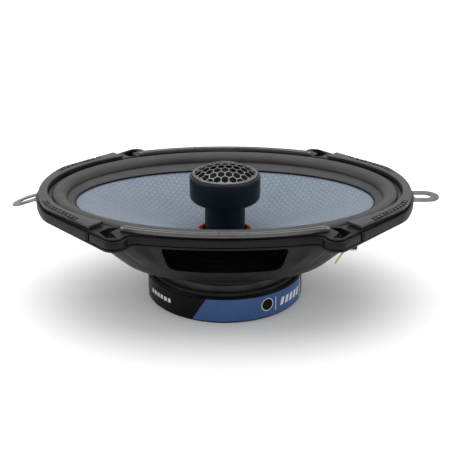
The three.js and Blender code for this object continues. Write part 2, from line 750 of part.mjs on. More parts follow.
// From the terminal rivet, in through the slot over the shelf and up to the cone's underside.
function tinselLead(y, coneY) {
  const height = shelfTop + 1.6;
  const stretch = [[TERMINAL_RIVET_X, y, height], [0, y, height], [-6, y * 0.9, height + 0.8]];
  const onShelf = stretch.map(([x, across, z]) => {
    const point = new THREE.Vector2(x, across).rotateAround(new THREE.Vector2(), TERMINAL_ANGLE);
    return [point.x + TERMINAL_CENTRE[0], point.y + TERMINAL_CENTRE[1], z];
  });
  return tube([...onShelf, [50, coneY, 41.4], [38, coneY, 41.8]], 0.6, 16);
}

// Series capacitor of the tweeter, glued to the outside of the basket at its rear right.
const capacitor = { radius: 4, length: 16, x: 50.4, y: 51.6, z: 35, turn: THREE.MathUtils.degToRad(-34) };

function placeCapacitor(geometry) {
  return geometry.rotateY(Math.PI / 2).rotateZ(capacitor.turn).translate(capacitor.x, capacitor.y, capacitor.z);
}

function crossoverCapacitor() {
  const { radius, length } = capacitor;
  const half = length / 2;
  return placeCapacitor(turned([
    [0, -half],
    [radius - 0.6, -half],
    [radius, -half + 0.6],
    [radius, half - 2.2],
    [radius - 0.5, half - 1.8],
    [radius, half - 1.4],
    [radius - 0.6, half],
    [0, half],
  ], 20));
}

// ---------------------------------------------------------------- assembly
const speaker = new THREE.Group();

function add(name, geometry, surface) {
  const mesh = new THREE.Mesh(geometry, surface);
  mesh.name = name;
  speaker.add(mesh);
}

add('basket', basket(), look.paintedSteel);
add('mounting_ring', mountingRing(), look.plastic);
add('end_trim_left', endTrim(-1), look.trimPlastic);
add('end_trim_right', endTrim(1), look.trimPlastic);
add('side_trim_front', sideTrim(-1), look.trimPlastic);
add('side_trim_rear', sideTrim(1), look.trimPlastic);
add('mounting_tab_left', mountingTab(-1, TAB_BEND_LEFT), look.tabSteel);
add('mounting_tab_right', mountingTab(1, 0), look.tabSteel);
for (const [name, side] of [['left', -1], ['right', 1]]) {
  const place = rivet(1.3, 2.6, FLANGE_BOTTOM - 0.2, tabTop + 0.2, 0.7).translate(side * TAB_RIVET_X, 0, 0);
  add(`tab_rivet_${name}`, place, look.zincSteel);
}

add('surround', surround(), look.rubber);
add('cone', cone(), look.cone);
add('voice_coil_former', voiceCoilFormer(), look.kapton);
add('voice_coil', voiceCoil(), look.copper);
add('spider', spider(), look.spider);

add('top_plate', topPlate(), look.darkMetal);
add('magnet', magnet(), look.ferrite);
add('yoke', yoke(), look.darkMetal);
add('magnet_boot', magnetBoot(), look.rubber);
add('label', label(), look.label);
plateRivetPlaces.forEach(([x, y], i) => {
  add(`plate_rivet_${i + 1}`, plateRivet().translate(x, y, 0), look.zincSteel);
});

add('tweeter_post', tweeterPost(), look.glossBlack);
add('post_screw', postScrew(), look.zincSteel);
add('post_nut', postNut(), look.zincSteel);
add('tweeter_housing', tweeterHousing(), look.glossBlack);
add('tweeter_grille', tweeterGrille(), look.darkMetal);
add('tweeter_dome', dome(), look.silk);
add('tweeter_surround', tweeterSurround(), look.silk);
add('tweeter_voice_coil', tweeterVoiceCoil(), look.copper);
add('tweeter_faceplate', tweeterFaceplate(), look.plastic);
add('tweeter_plate', tweeterPlate(), look.darkMetal);
add('tweeter_magnet', tweeterMagnet(), look.neodymium);
add('tweeter_yoke', tweeterYoke(), look.darkMetal);
add('tweeter_lead_red', tweeterLead(-1), look.redWire);
add('tweeter_lead_orange', tweeterLead(1), look.orangeWire);

add('terminal_board', terminalBoard(), look.board);
add('terminal_positive', terminal(4.8, terminalPlaces[1]), look.brass);
add('terminal_negative', terminal(2.8, terminalPlaces[0]), look.brass);
add('terminal_rivet_positive', terminalRivet(terminalPlaces[1]), look.brass);
add('terminal_rivet_negative', terminalRivet(terminalPlaces[0]), look.brass);
add('tinsel_lead_positive', tinselLead(terminalPlaces[1], 0), look.copper);
add('tinsel_lead_negative', tinselLead(terminalPlaces[0], -12), look.copper);
add('crossover_capacitor', crossoverCapacitor(), look.label);

export default speaker;
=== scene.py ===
"""Coaxial car speaker: the detailed pieces, their materials, the studio and the camera.

Lengths in the helpers below are millimetres in the CAD frame; a mesh is scaled to metres when it is made.
"""
import math

import bmesh
import bpy
from mathutils import Matrix, Vector


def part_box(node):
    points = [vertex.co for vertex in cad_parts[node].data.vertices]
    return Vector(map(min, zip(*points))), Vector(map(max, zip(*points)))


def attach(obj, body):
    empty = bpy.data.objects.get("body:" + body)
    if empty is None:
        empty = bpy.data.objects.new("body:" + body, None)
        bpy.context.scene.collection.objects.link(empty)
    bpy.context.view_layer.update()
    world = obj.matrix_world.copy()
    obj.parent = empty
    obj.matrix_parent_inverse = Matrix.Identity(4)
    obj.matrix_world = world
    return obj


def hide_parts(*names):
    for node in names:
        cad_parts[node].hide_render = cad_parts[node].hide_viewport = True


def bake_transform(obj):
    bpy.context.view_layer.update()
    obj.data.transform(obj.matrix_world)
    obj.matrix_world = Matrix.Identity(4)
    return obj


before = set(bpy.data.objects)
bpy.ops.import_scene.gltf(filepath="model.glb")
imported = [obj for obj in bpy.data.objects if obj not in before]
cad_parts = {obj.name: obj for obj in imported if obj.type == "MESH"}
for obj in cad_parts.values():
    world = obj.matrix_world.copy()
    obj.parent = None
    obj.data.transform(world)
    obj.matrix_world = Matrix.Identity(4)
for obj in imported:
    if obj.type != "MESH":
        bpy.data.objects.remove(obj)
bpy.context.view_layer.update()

MM = 0.001
TAU = 2 * math.pi


def span(node):
    """Lowest and highest corner of a CAD node, in millimetres."""
    low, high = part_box(node)
    return [v / MM for v in low], [v / MM for v in high]


# --- sizes taken from the frame
ring_low, ring_high = span("mounting_ring")
HALF_LENGTH = ring_high[0]
EAR_HALF_WIDTH = round(ring_high[1])
RING_BOTTOM, RING_TOP = ring_low[2], ring_high[2]
FLANGE_TOP = span("basket")[1][2]
FLANGE_BOTTOM = FLANGE_TOP - 1.2
BASKET_BOTTOM = span("basket")[0][2]
TRIM_BOTTOM, TRIM_TOP = span("end_trim_left")[0][2], span("end_trim_left")[1][2]
TAB_BOTTOM, TAB_TOP = span("mounting_tab_right")[0][2], span("mounting_tab_right")[1][2]
TAB_TIP = span("mounting_tab_right")[1][0]
BOOT_RADIUS, BOOT_TOP = span("magnet_boot")[1][0], span("magnet_boot")[1][2]
PLATE_RADIUS = span("top_plate")[1][0]
HOUSING_RADIUS = span("tweeter_housing")[1][0]
HOUSING_TOP = span("tweeter_housing")[1][2]
GRILLE_TOP = span("tweeter_grille")[1][2]
POST_RADIUS = span("tweeter_post")[1][0]
POST_BOTTOM, POST_TOP = span("tweeter_post")[0][2], span("tweeter_post")[1][2]
FORMER_BOTTOM, FORMER_TOP = span("voice_coil_former")[0][2], span("voice_coil_former")[1][2]

# Sizes of the outline and the ovals, the same as the CAD's
SIDE_HALF_WIDTH = 77.2
END_RADIUS = 76
END_ANGLE = math.radians(24)
CORNER_RADIUS = 30
CHAMFER_ANGLE = math.radians(42.5)
EAR_RADIUS = 7.5
SIDE_RADIUS = 220
SIDE_END_X = 48
LEDGE = 64
SHEET = 1.2
RING_OPENING = (106.5, 73)
LEDGE_OPENING = (103.5, 71)
ROLL_OUTER = (104, 71.5)
ROLL_INNER = (94.5, 61.5)
CONE_EDGE = (90.5, 53.5)
BASKET_MOUTH = (104, 72.9)
NECK_RADIUS = 14.3
NECK_HEIGHT = 39.2
CONE_EDGE_HEIGHT = 58.7
LEAD_HEIGHT = 43.2
TERMINAL_CENTRE = (72.5, -5)
TERMINAL_ANGLE = math.radians(-6)
TERMINAL_RIVET_X = 5.4
SHELF_BOTTOM = 35.6
SHELF_TOP = SHELF_BOTTOM + SHEET
CORNERS = ((1, 1), (-1, 1), (-1, -1), (1, -1))
UPRIGHT = Matrix.Rotation(math.pi / 2, 4, "X")
SIDEWAYS = Matrix.Rotation(math.pi / 2, 4, "Y")


# --- mesh helpers
def mix(a, b, t):
    return a + (b - a) * t


def smooth(t):
    t = min(max(t, 0.0), 1.0)
    return t * t * (3 - 2 * t)


def bend(start, corner, end, t):
    """A point on the curve from start to end that is pulled towards the corner."""
    return start * (1 - t) ** 2 + corner * 2 * t * (1 - t) + end * t * t


def finish_mesh(obj, angle=35):
    """Welds the mesh, turns its faces outward and shades it smooth up to the given angle."""
    mesh = obj.data
    bm = bmesh.new()
    bm.from_mesh(mesh)
    bmesh.ops.remove_doubles(bm, verts=bm.verts, dist=1e-6)
    bmesh.ops.dissolve_degenerate(bm, edges=bm.edges, dist=1e-7)
    bmesh.ops.recalc_face_normals(bm, faces=bm.faces)
    bm.to_mesh(mesh)
    bm.free()
    mesh.shade_smooth()
    mesh.set_sharp_from_angle(angle=math.radians(angle))
    return obj


def add(name, data):
    """Puts a mesh, curve, light or camera in the scene as an object."""
    obj = bpy.data.objects.new(name, data)
    bpy.context.scene.collection.objects.link(obj)
    return obj


def make(name, verts, faces, angle=35):
    mesh = bpy.data.meshes.new(name)
    mesh.from_pydata([(x * MM, y * MM, z * MM) for x, y, z in verts], [], faces)
    return finish_mesh(add(name, mesh), angle)


def apply_modifiers(obj):
    depsgraph = bpy.context.evaluated_depsgraph_get()
    mesh = bpy.data.meshes.new_from_object(obj.evaluated_get(depsgraph))
    obj.modifiers.clear()
    old = obj.data
    obj.data = mesh
    bpy.data.meshes.remove(old)
    return obj


def boolean(obj, tools, operation):
    """Joins the tools to a piece or cuts them from it, and deletes the tools."""
    for tool in tools:
        modifier = obj.modifiers.new("boolean", "BOOLEAN")
        modifier.solver = "EXACT"
        modifier.operation = operation
        modifier.object = tool
        apply_modifiers(obj)
        bpy.data.objects.remove(tool)
    return finish_mesh(obj)


def carve(obj, *tools):
    return boolean(obj, tools, "DIFFERENCE")


def union(obj, *tools):
    return boolean(obj, tools, "UNION")


def bevel(obj, width, segments=2, angle=40):
    modifier = obj.modifiers.new("bevel", "BEVEL")
    modifier.width = width * MM
    modifier.segments = segments
    modifier.limit_method = "ANGLE"
    modifier.angle_limit = math.radians(angle)
    modifier.use_clamp_overlap = True
    apply_modifiers(obj)
    return finish_mesh(obj)


def oval_turned(name, profile, segments=192, reshape=None, angle=35):
    """Turns a loop of (half length, half width, height, squareness) points; squareness 2 is an ellipse."""
    verts, faces = [], []
    count = len(profile)
    for i in range(segments):
        theta = TAU * i / segments
        x, y = math.cos(theta), math.sin(theta)
        for a, b, z, *squareness in profile:
            power = squareness[0] if squareness else 2
            reach = (abs(x) ** power + abs(y) ** power) ** (-1 / power)
            grow = reshape(theta, z) if reshape else 0.0
            verts.append(((a + grow) * reach * x, (b + grow) * reach * y, z))
    for i in range(segments):
        here, there = i * count, ((i + 1) % segments) * count
        for j in range(count):
            k = (j + 1) % count
            faces.append((here + j, there + j, there + k, here + k))
    return make(name, verts, faces, angle)


def turned(name, profile, segments=128, angle=35):
    return oval_turned(name, [(r, r, z) for r, z in profile], segments, None, angle)


def rounded(profile, radius, steps=4):
    """Rounds every corner of a closed profile of (radius, height) points."""
    result = []
    count = len(profile)
    for i, corner in enumerate(profile):
        here = Vector(corner)
        before = Vector(profile[i - 1]) - here
        after = Vector(profile[(i + 1) % count]) - here
        reach = min(radius, before.length * 0.45, after.length * 0.45)
        if here.x < 1e-6:
            result.append(tuple(here))
            continue
        start, end = here + before.normalized() * reach, here + after.normalized() * reach
        result += [tuple(bend(start, here, end, j / steps)) for j in range(steps + 1)]
    return result


def plate(name, loops, bottom, top, edge=0.3, segments=3):
    """A flat plate with rounded edges. The first loop is its outline and the rest are holes."""
    curve = bpy.data.curves.new(name, "CURVE")
    curve.dimensions = "2D"
    curve.fill_mode = "BOTH"
    for loop in loops:
        spline = curve.splines.new("POLY")
        spline.points.add(len(loop) - 1)
        for point, (x, y) in zip(spline.points, loop):
            point.co = (x * MM, y * MM, 0, 1)
        spline.use_cyclic_u = True
    curve.bevel_depth = edge * MM
    curve.bevel_resolution = segments
    curve.offset = -edge * MM
    curve.extrude = ((top - bottom) / 2 - edge) * MM
    source = add(name + "_curve", curve)
    depsgraph = bpy.context.evaluated_depsgraph_get()
    mesh = bpy.data.meshes.new_from_object(source.evaluated_get(depsgraph))
    mesh.transform(Matrix.Translation((0, 0, (top + bottom) / 2 * MM)))
    bpy.data.objects.remove(source)
    return finish_mesh(add(name, mesh))


def prism(name, loop, bottom, top):
    """A sharp-edged extrusion, for cutting."""
    count = len(loop)
    verts = [(x, y, z) for z in (bottom, top) for x, y in loop]
    faces = [tuple(range(count))[::-1], tuple(range(count, 2 * count))]
    faces += [(i, (i + 1) % count, count + (i + 1) % count, count + i) for i in range(count)]
    return make(name, verts, faces)


def place(obj, matrix):
    obj.data.transform(matrix)
    return obj


def moved(obj, x=0.0, y=0.0, z=0.0, turn=0.0, tilt=0.0):
    """Turns about Z after tilting about Y, then shifts by millimetres."""
    rotation = Matrix.Rotation(turn, 4, "Z") @ Matrix.Rotation(tilt, 4, "Y")
    return place(obj, Matrix.Translation((x * MM, y * MM, z * MM)) @ rotation)


def tube(name, points, radius, sides=12, steps=10):
    """A round wire through the points, with flat ends."""
    path = []
    ends = [points[0], *points, points[-1]]
    for i in range(1, len(ends) - 2):
        p0, p1, p2, p3 = (Vector(p) for p in ends[i - 1:i + 3])
        for j in range(steps):
            t = j / steps
            path.append(0.5 * (2 * p1 + (p2 - p0) * t + (2 * p0 - 5 * p1 + 4 * p2 - p3) * t * t
                               + (3 * p1 - p0 - 3 * p2 + p3) * t ** 3))
    path.append(Vector(points[-1]))
    verts, faces = [], []
    side = Vector((0, 1, 0))
    last = len(path) - 1
    for i, centre in enumerate(path):
        along = (path[min(i + 1, last)] - path[max(i - 1, 0)]).normalized()
        side = (side - along * side.dot(along)).normalized()
        other = along.cross(side)
        for k in range(sides):
            angle = TAU * k / sides
            verts.append(centre + (side * math.cos(angle) + other * math.sin(angle)) * radius)
    for i in range(last):
        for k in range(sides):
            n = (k + 1) % sides
            faces.append((i * sides + k, i * sides + n, (i + 1) * sides + n, (i + 1) * sides + k))
    faces.append(tuple(range(sides))[::-1])
    faces.append(tuple(last * sides + k for k in range(sides)))
    return make(name, [tuple(v) for v in verts], faces, 60)


# --- outlines
def arc(cx, cy, radius, start, end, pitch=1.5):
    steps = max(6, round(abs(end - start) * radius / pitch))
    angles = [mix(start, end, i / steps) for i in range(steps + 1)]
    return [(cx + radius * math.cos(a), cy + radius * math.sin(a)) for a in angles]


def circle(radius, count, x=0.0, y=0.0):
    turns = [TAU * i / count for i in range(count)]
    return [(x + radius * math.cos(t), y + radius * math.sin(t)) for t in turns]


def mirrored(points, sx, sy=1):
    """The loop with its signs changed, still running the same way round."""
    loop = [(x * sx, y * sy) for x, y in points]
    return loop if sx * sy > 0 else loop[::-1]


def ellipse(oval, inset=0.0, count=160):
    a, b = oval[0] - inset, oval[1] - inset
    return [(a * math.cos(TAU * i / count), b * math.sin(TAU * i / count)) for i in range(count)]


def quarter_outline(inset):
    """End arc, corner, straight chamfer, ear nose, fillet and bowed long side."""
    end_centre = HALF_LENGTH - END_RADIUS
    step = END_RADIUS - CORNER_RADIUS
    corner_x = end_centre + step * math.cos(END_ANGLE)
    corner_y = step * math.sin(END_ANGLE)
    nx, ny = math.cos(CHAMFER_ANGLE), math.sin(CHAMFER_ANGLE)
    chamfer_distance = nx * corner_x + ny * corner_y + CORNER_RADIUS
    ear_y = EAR_HALF_WIDTH - EAR_RADIUS
    ear_x = (chamfer_distance - EAR_RADIUS - ny * ear_y) / nx
    side_centre = SIDE_HALF_WIDTH - SIDE_RADIUS
    side_angle = math.acos(SIDE_END_X / SIDE_RADIUS)
    side_end = side_centre + SIDE_RADIUS * math.sin(side_angle)
    points = arc(end_centre, 0, END_RADIUS - inset, 0, END_ANGLE)
    points += arc(corner_x, corner_y, CORNER_RADIUS - inset, END_ANGLE, CHAMFER_ANGLE)
    ear = arc(ear_x, ear_y, EAR_RADIUS - inset, CHAMFER_ANGLE, math.pi * 0.94, 0.8)
    p0, p1 = Vector(ear[-1]), Vector((ear_x - EAR_RADIUS, side_end - inset))
    p2 = Vector((SIDE_END_X, side_end - inset))
    points += ear + [tuple(bend(p0, p1, p2, t)) for t in (0.2, 0.4, 0.6, 0.8)]
    points += arc(0, side_centre, SIDE_RADIUS - inset, side_angle, math.pi / 2)
    return points


def tidy_loop(points, gap=0.05):
    return [p for i, p in enumerate(points) if math.dist(p, points[(i + 1) % len(points)]) > gap]


def flange_outline(inset=0.0):
    quarter = quarter_outline(inset)
    whole = list(quarter)
    whole += [(-x, y) for x, y in reversed(quarter)]
    whole += [(-x, -y) for x, y in quarter]
    whole += [(x, -y) for x, y in reversed(quarter)]
    return tidy_loop(whole)


def end_stretch(inset, limit_y):
    """The outline round the right end, from y = -limit_y to +limit_y."""
    whole = quarter_outline(inset)
    last = next(i for i, p in enumerate(whole) if p[1] > limit_y)
    below, above = whole[last - 1], whole[last]
    share = (limit_y - below[1]) / (above[1] - below[1])
    quarter = whole[:last] + [(mix(below[0], above[0], share), limit_y)]
    return [(x, -y) for x, y in reversed(quarter)] + quarter[1:]


def chevron(sx, sy, grow=0.0):
    points = [(68.2, 67.6), (63.2, 75.6), (57.6, 75.6), (61.9, 67.6), (57.9, 61.8), (63.6, 61.8)]
    centre = (62.9, 68.0)
    grown = [(x + grow * (x - centre[0]) / 6, y + grow * (y - centre[1]) / 6) for x, y in points]
    return mirrored(grown, sx, sy)


# --- material helpers
class Look:
    """A small builder for one procedural material."""

    def __init__(self, name):
        self.material = bpy.data.materials.new(name)
        self.material.use_nodes = True
        self.tree = self.material.node_tree
        self.shader = self.tree.nodes["Principled BSDF"]
        self.where = self.node("ShaderNodeTexCoord").outputs["Object"]

    def node(self, kind, inputs=None, **settings):
        node = self.tree.nodes.new(kind)
        for key, value in settings.items():
            setattr(node, key, value)
        for key, value in (inputs or {}).items():
            socket = node.inputs[key]
            if isinstance(value, bpy.types.NodeSocket):
                self.tree.links.new(value, socket)
            else:
                socket.default_value = value
        return node

    def link(self, value, socket):
        self.tree.links.new(value, self.shader.inputs[socket])

    def fix(self, **values):
        for key, value in values.items():
            self.shader.inputs[key.replace("_", " ")].default_value = value

    def stretched(self, x, y, z):
        return self.node("ShaderNodeMapping", {"Vector": self.where, "Scale": (x, y, z)}).outputs[0]

    def noise(self, scale, detail=3.0, where=None):
        inputs = {"Vector": where or self.where, "Scale": scale, "Detail": detail}
        return self.node("ShaderNodeTexNoise", inputs).outputs["Fac"]

    def math(self, operation, a, b=0.0):
        return self.node("ShaderNodeMath", {0: a, 1: b}, operation=operation).outputs[0]

    def vector(self, operation, a, b=(0.0, 0.0, 0.0), c=None):
        inputs = {0: a, 1: b}
        if c is not None:
            inputs[2] = c
        return self.node("ShaderNodeVectorMath", inputs, operation=operation)

    def between(self, value, low, high, out_low=0.0, out_high=1.0):
        inputs = {"Value": value, "From Min": low, "From Max": high, "To Min": out_low, "To Max": out_high}
        return self.node("ShaderNodeMapRange", inputs).outputs[0]

    def blend(self, factor, dark, light):
        node = self.node("ShaderNodeMix", {"Factor": factor}, data_type="RGBA")
        for socket, value in ((node.inputs[6], dark), (node.inputs[7], light)):
            if isinstance(value, bpy.types.NodeSocket):
                self.tree.links.new(value, socket)
            else:
                socket.default_value = (*value, 1)
        return node.outputs[2]

    def bump(self, height, distance, strength=1.0, normal=None):
        inputs = {"Height": height, "Distance": distance * MM, "Strength": strength}
        if normal is not None:
            inputs["Normal"] = normal
        return self.node("ShaderNodeBump", inputs).outputs[0]

    def tone(self, scale, detail, dark, light, low=0.3):
        """A base colour that drifts between two tones."""
        self.link(self.blend(self.between(self.noise(scale, detail), low, 0.7), dark, light), "Base Color")

    def gloss(self, scale, detail, low, high):
        """Roughness that drifts between two values."""
        self.link(self.between(self.noise(scale, detail), 0.3, 0.7, low, high), "Roughness")


def moulded(name, dark, light, rough, shine=0.2, grain_scale=2600, grain=0.03, patch_scale=60):
    """Moulded plastic or rubber: fine grain, a slightly uneven tone and uneven gloss."""
    look = Look(name)
    look.tone(patch_scale, 4, dark, light)
    look.gloss(240, 3, rough - 0.05, rough + 0.06)
    look.link(look.bump(look.noise(grain_scale, 2), grain), "Normal")
    look.fix(Specular_IOR_Level=shine)
    return look.material


def painted(name, dark, light, rough):
    """Black-coated pressed steel: orange peel, soft draw marks and worn patches."""
    look = Look(name)
    look.tone(35, 5, dark, light, 0.35)
    look.gloss(180, 4, rough - 0.06, rough + 0.07)
    peel = look.noise(900, 2)
    draw = look.noise(90, 2, look.stretched(1, 1, 0.15))
    look.link(look.bump(draw, 0.08, 0.6, look.bump(peel, 0.04)), "Normal")
    look.fix(Specular_IOR_Level=0.16)
    return look.material


def metal(name, dark, light, rough):
    """Bare or plated metal with fine brushed lines and a mottled tone."""
    look = Look(name)
    lines = look.noise(400, 4, look.stretched(1, 12, 12))
    look.tone(120, 4, dark, light)
    look.link(look.between(lines, 0.3, 0.7, rough - 0.07, rough + 0.1), "Roughness")
    look.link(look.bump(lines, 0.02), "Normal")
    look.fix(Metallic=1.0)
    return look.material


def hexagons(look, pitch):
    """0 along the edges of a honeycomb in the XY plane, 0.5 at the middle of each cell."""
    half = (0.5, math.sqrt(3) / 2, 0)
    low = tuple(-v for v in half)
    scale = 1 / (pitch * MM)
    cell = look.vector("MULTIPLY", look.where, (scale, scale, 0)).outputs[0]
    first = look.vector("WRAP", cell, half, low).outputs[0]
    second = look.vector("WRAP", look.vector("ADD", cell, half).outputs[0], half, low).outputs[0]
    near = look.math(
        "LESS_THAN",
        look.vector("DOT_PRODUCT", first, first).outputs["Value"],
        look.vector("DOT_PRODUCT", second, second).outputs["Value"],
    )
    chosen = look.node("ShaderNodeMix", {"Factor": near}, data_type="VECTOR")
    look.tree.links.new(second, chosen.inputs[4])
    look.tree.links.new(first, chosen.inputs[5])
    size = look.vector("ABSOLUTE", chosen.outputs[1]).outputs[0]
    slanted = look.vector("DOT_PRODUCT", size, (0.5, math.sqrt(3) / 2, 0)).outputs["Value"]
    across = look.node("ShaderNodeSeparateXYZ", {0: size}).outputs[0]
    return look.math("SUBTRACT", 0.5, look.math("MAXIMUM", slanted, across))


def weave(look, scale):
    """Crossed threads in the XY plane, 0 to 1."""
    waves = []
    for direction in ("X", "Y"):
        inputs = {"Vector": look.where, "Scale": scale, "Distortion": 0.6, "Detail": 1.0}
        wave = look.node("ShaderNodeTexWave", inputs, bands_direction=direction)
        waves.append(wave.outputs["Fac"])
    return look.math("MULTIPLY", waves[0], waves[1])


def cone_look():
    look = Look("cone_weave")
    edge = hexagons(look, 3.3)
    groove = look.between(edge, 0.02, 0.1)
    threads = weave(look, 520)
    cloud = look.noise(45, 5)
    tone = look.blend(look.between(cloud, 0.3, 0.7), (0.118, 0.156, 0.212), (0.150, 0.188, 0.246))
    woven = look.blend(look.between(threads, 0.1, 0.8, 0, 0.5), tone, (0.19, 0.232, 0.292))
    # Painted shade: faces that point downward are painted near-black, in place of the shade under the cone.
    facing = look.node("ShaderNodeTexCoord").outputs["Normal"]
    upward = look.node("ShaderNodeSeparateXYZ", {0: facing}).outputs[2]
    front = look.blend(groove, (0.082, 0.108, 0.146), woven)
    look.link(look.blend(look.between(upward, -0.2, 0.1), (0.006, 0.007, 0.009), front), "Base Color")
    look.gloss(300, 3, 0.38, 0.56)
    fine = look.bump(threads, 0.05, 0.7)
    look.link(look.bump(groove, 0.12, 0.8, fine), "Normal")
    look.fix(Sheen_Weight=0.15, Sheen_Roughness=0.5)
    return look.material


def spider_look():
    look = Look("spider_cloth")
    threads = weave(look, 380)
    look.link(look.blend(threads, (0.004, 0.004, 0.006), (0.010, 0.011, 0.016)), "Base Color")
    look.link(look.bump(threads, 0.1), "Normal")
    look.fix(Roughness=0.85)
    return look.material


def stranded(name, dark, light, rough, scale, wander, direction, depth):
    """Wound or braided copper: bands of strands that run one way."""
    look = Look(name)
    inputs = {"Vector": look.where, "Scale": scale, "Distortion": wander}
    strands = look.node("ShaderNodeTexWave", inputs, bands_direction=direction).outputs["Fac"]
    look.link(look.blend(strands, dark, light), "Base Color")
    look.link(look.bump(strands, depth), "Normal")
    look.fix(Metallic=0.9, Roughness=rough)
    return look.material


def printed(name, dark, light):
    """Laminated label film: printed tone with a faint screen and a soft wrinkle in the gloss."""
    look = Look(name)
    look.tone(70, 4, dark, light)
    look.gloss(500, 2, 0.27, 0.40)
    look.link(look.bump(look.noise(140, 3), 0.05, 0.5), "Normal")
    look.fix(Specular_IOR_Level=0.12)
    return look.material


def gloss_look():
    look = Look("tweeter_black")
    look.tone(50, 4, (0.0030, 0.0062, 0.0105), (0.0046, 0.0082, 0.0135))
    look.gloss(400, 4, 0.30, 0.40)
    look.link(look.bump(look.noise(1500, 2), 0.015, 0.6), "Normal")
    look.fix(Specular_IOR_Level=0.14)
    return look.material


# Kind of look, darker tone, lighter tone, then what else the kind takes
RECIPES = {
    "painted_steel": (painted, (0.006, 0.006, 0.0063), (0.011, 0.011, 0.0115), 0.40),
    "frame_plastic": (moulded, (0.004, 0.004, 0.004), (0.008, 0.008, 0.008), 0.38, 0.14),
    "trim_plastic": (moulded, (0.020, 0.020, 0.0205), (0.032, 0.032, 0.0325), 0.40, 0.35),
    # strip_plastic is a lighter copy of trim_plastic: its lighter tone is a painted highlight on the front
    # and rear strips.
    "strip_plastic": (moulded, (0.050, 0.050, 0.052), (0.075, 0.075, 0.077), 0.30, 0.5),
    "surround_rubber": (moulded, (0.021, 0.021, 0.0215), (0.033, 0.033, 0.033), 0.46, 0.35, 1800, 0.02),
    "boot_rubber": (moulded, (0.0015, 0.0015, 0.0018), (0.003, 0.003, 0.0034), 0.34, 0.1, 1800, 0.02),
    "dark_steel": (metal, (0.030, 0.030, 0.032), (0.055, 0.055, 0.058), 0.42),
    "grille_steel": (metal, (0.11, 0.11, 0.113), (0.20, 0.20, 0.205), 0.36),
    "zinc_steel": (metal, (0.42, 0.41, 0.38), (0.60, 0.60, 0.58), 0.35),
    "tab_steel": (metal, (0.12, 0.12, 0.118), (0.21, 0.21, 0.205), 0.38),
    "ferrite": (moulded, (0.018, 0.018, 0.019), (0.034, 0.034, 0.036), 0.78, 0.2, 900, 0.08, 200),
    "neodymium": (metal, (0.52, 0.51, 0.48), (0.68, 0.67, 0.64), 0.22),
    "former_film": (moulded, (0.012, 0.010, 0.008), (0.022, 0.016, 0.012), 0.3, 0.2, 900, 0.01),
    "copper_wire": (stranded, (0.22, 0.06, 0.02), (0.72, 0.28, 0.12), 0.35, 700.0, 0.2, "Z", 0.12),
    "tinsel_braid": (stranded, (0.35, 0.13, 0.06), (0.80, 0.42, 0.24), 0.4, 500.0, 1.5, "DIAGONAL", 0.15),
    "label_blue": (printed, (0.042, 0.092, 0.220), (0.048, 0.102, 0.240)),
    "label_black": (printed, (0.0008, 0.0008, 0.001), (0.0016, 0.0016, 0.002)),
    "label_white": (printed, (0.56, 0.57, 0.58), (0.68, 0.69, 0.70)),
    "silk": (moulded, (0.002, 0.002, 0.0024), (0.004, 0.004, 0.0045), 0.7, 0.1, 2200, 0.06),
    "fibre_board": (moulded, (0.020, 0.010, 0.006), (0.038, 0.019, 0.010), 0.6, 0.2, 700, 0.05, 300),
    "brass": (metal, (0.42, 0.32, 0.13), (0.60, 0.47, 0.22), 0.3),
    "red_wire": (moulded, (0.36, 0.020, 0.010), (0.50, 0.040, 0.022), 0.38),
    "orange_wire": (moulded, (0.40, 0.12, 0.02), (0.56, 0.19, 0.04), 0.38),
    "capacitor_sleeve": (printed, (0.010, 0.014, 0.036), (0.015, 0.021, 0.05)),
}
LOOKS = {name: recipe(name, *values) for name, (recipe, *values) in RECIPES.items()}
LOOKS.update(cone_weave=cone_look(), spider_cloth=spider_look(), gloss_black=gloss_look())


def dress(obj, look, body="frame", replaces=()):
    """Gives a new piece its material, the body it rides on and the nodes it stands for."""
    obj.data.materials.clear()
    obj.data.materials.append(LOOKS[look])
    if body:
        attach(obj, body)
    if replaces:
        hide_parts(*replaces)
    return obj


# --- basket
def window_loop(top_half, bottom_half, bottom, top, corner=5.0):
    """A tapering window with round corners, in its own plane."""
    corners = [(-bottom_half, bottom), (bottom_half, bottom), (top_half, top), (-top_half, top)]
    loop = []
    for i, corner_point in enumerate(corners):
        here = Vector(corner_point)
        before = (Vector(corners[i - 1]) - here).normalized() * corner
        after = (Vector(corners[(i + 1) % 4]) - here).normalized() * corner
        loop += [tuple(bend(here + before, here, here + after, j / 8)) for j in range(9)]
    return loop


def bezier_wall(foot, bulge, mouth, steps=18):
    """Sections of the wall from foot to mouth, bending softly at the bulge."""
    sections = []
    for i in range(steps + 1):
        t = i / steps
        if t < 0.5:
            straight = [mix(p, q, 2 * t) for p, q in zip(foot, bulge)]
        else:
            straight = [mix(p, q, 2 * t - 1) for p, q in zip(bulge, mouth)]
        curved = [bend(p, q, r, t) for p, q, r in zip(foot, bulge, mouth)]
        sections.append(tuple(mix(p, q, 0.25) for p, q in zip(straight, curved)))
    return sections


def ear_crease(theta, z):
    """Pressed ribs that run down the wall under each ear."""
    height = smooth((z - 34) / 18)
    folded = abs(math.remainder(theta, math.pi))
    offset = abs(folded - math.radians(57))
    return 2.2 * height * (1 - smooth((offset - math.radians(4.5)) / math.radians(1.2)))


def terminal_frame(obj):
    return moved(obj, *TERMINAL_CENTRE, 0, TERMINAL_ANGLE)


def block(name, x0, x1, y0, y1, z0, z1, edge=0.0):
    loop = [(x0, y0), (x1, y0), (x1, y1), (x0, y1)]
    return plate(name, [loop], z0, z1, edge) if edge else prism(name, loop, z0, z1)


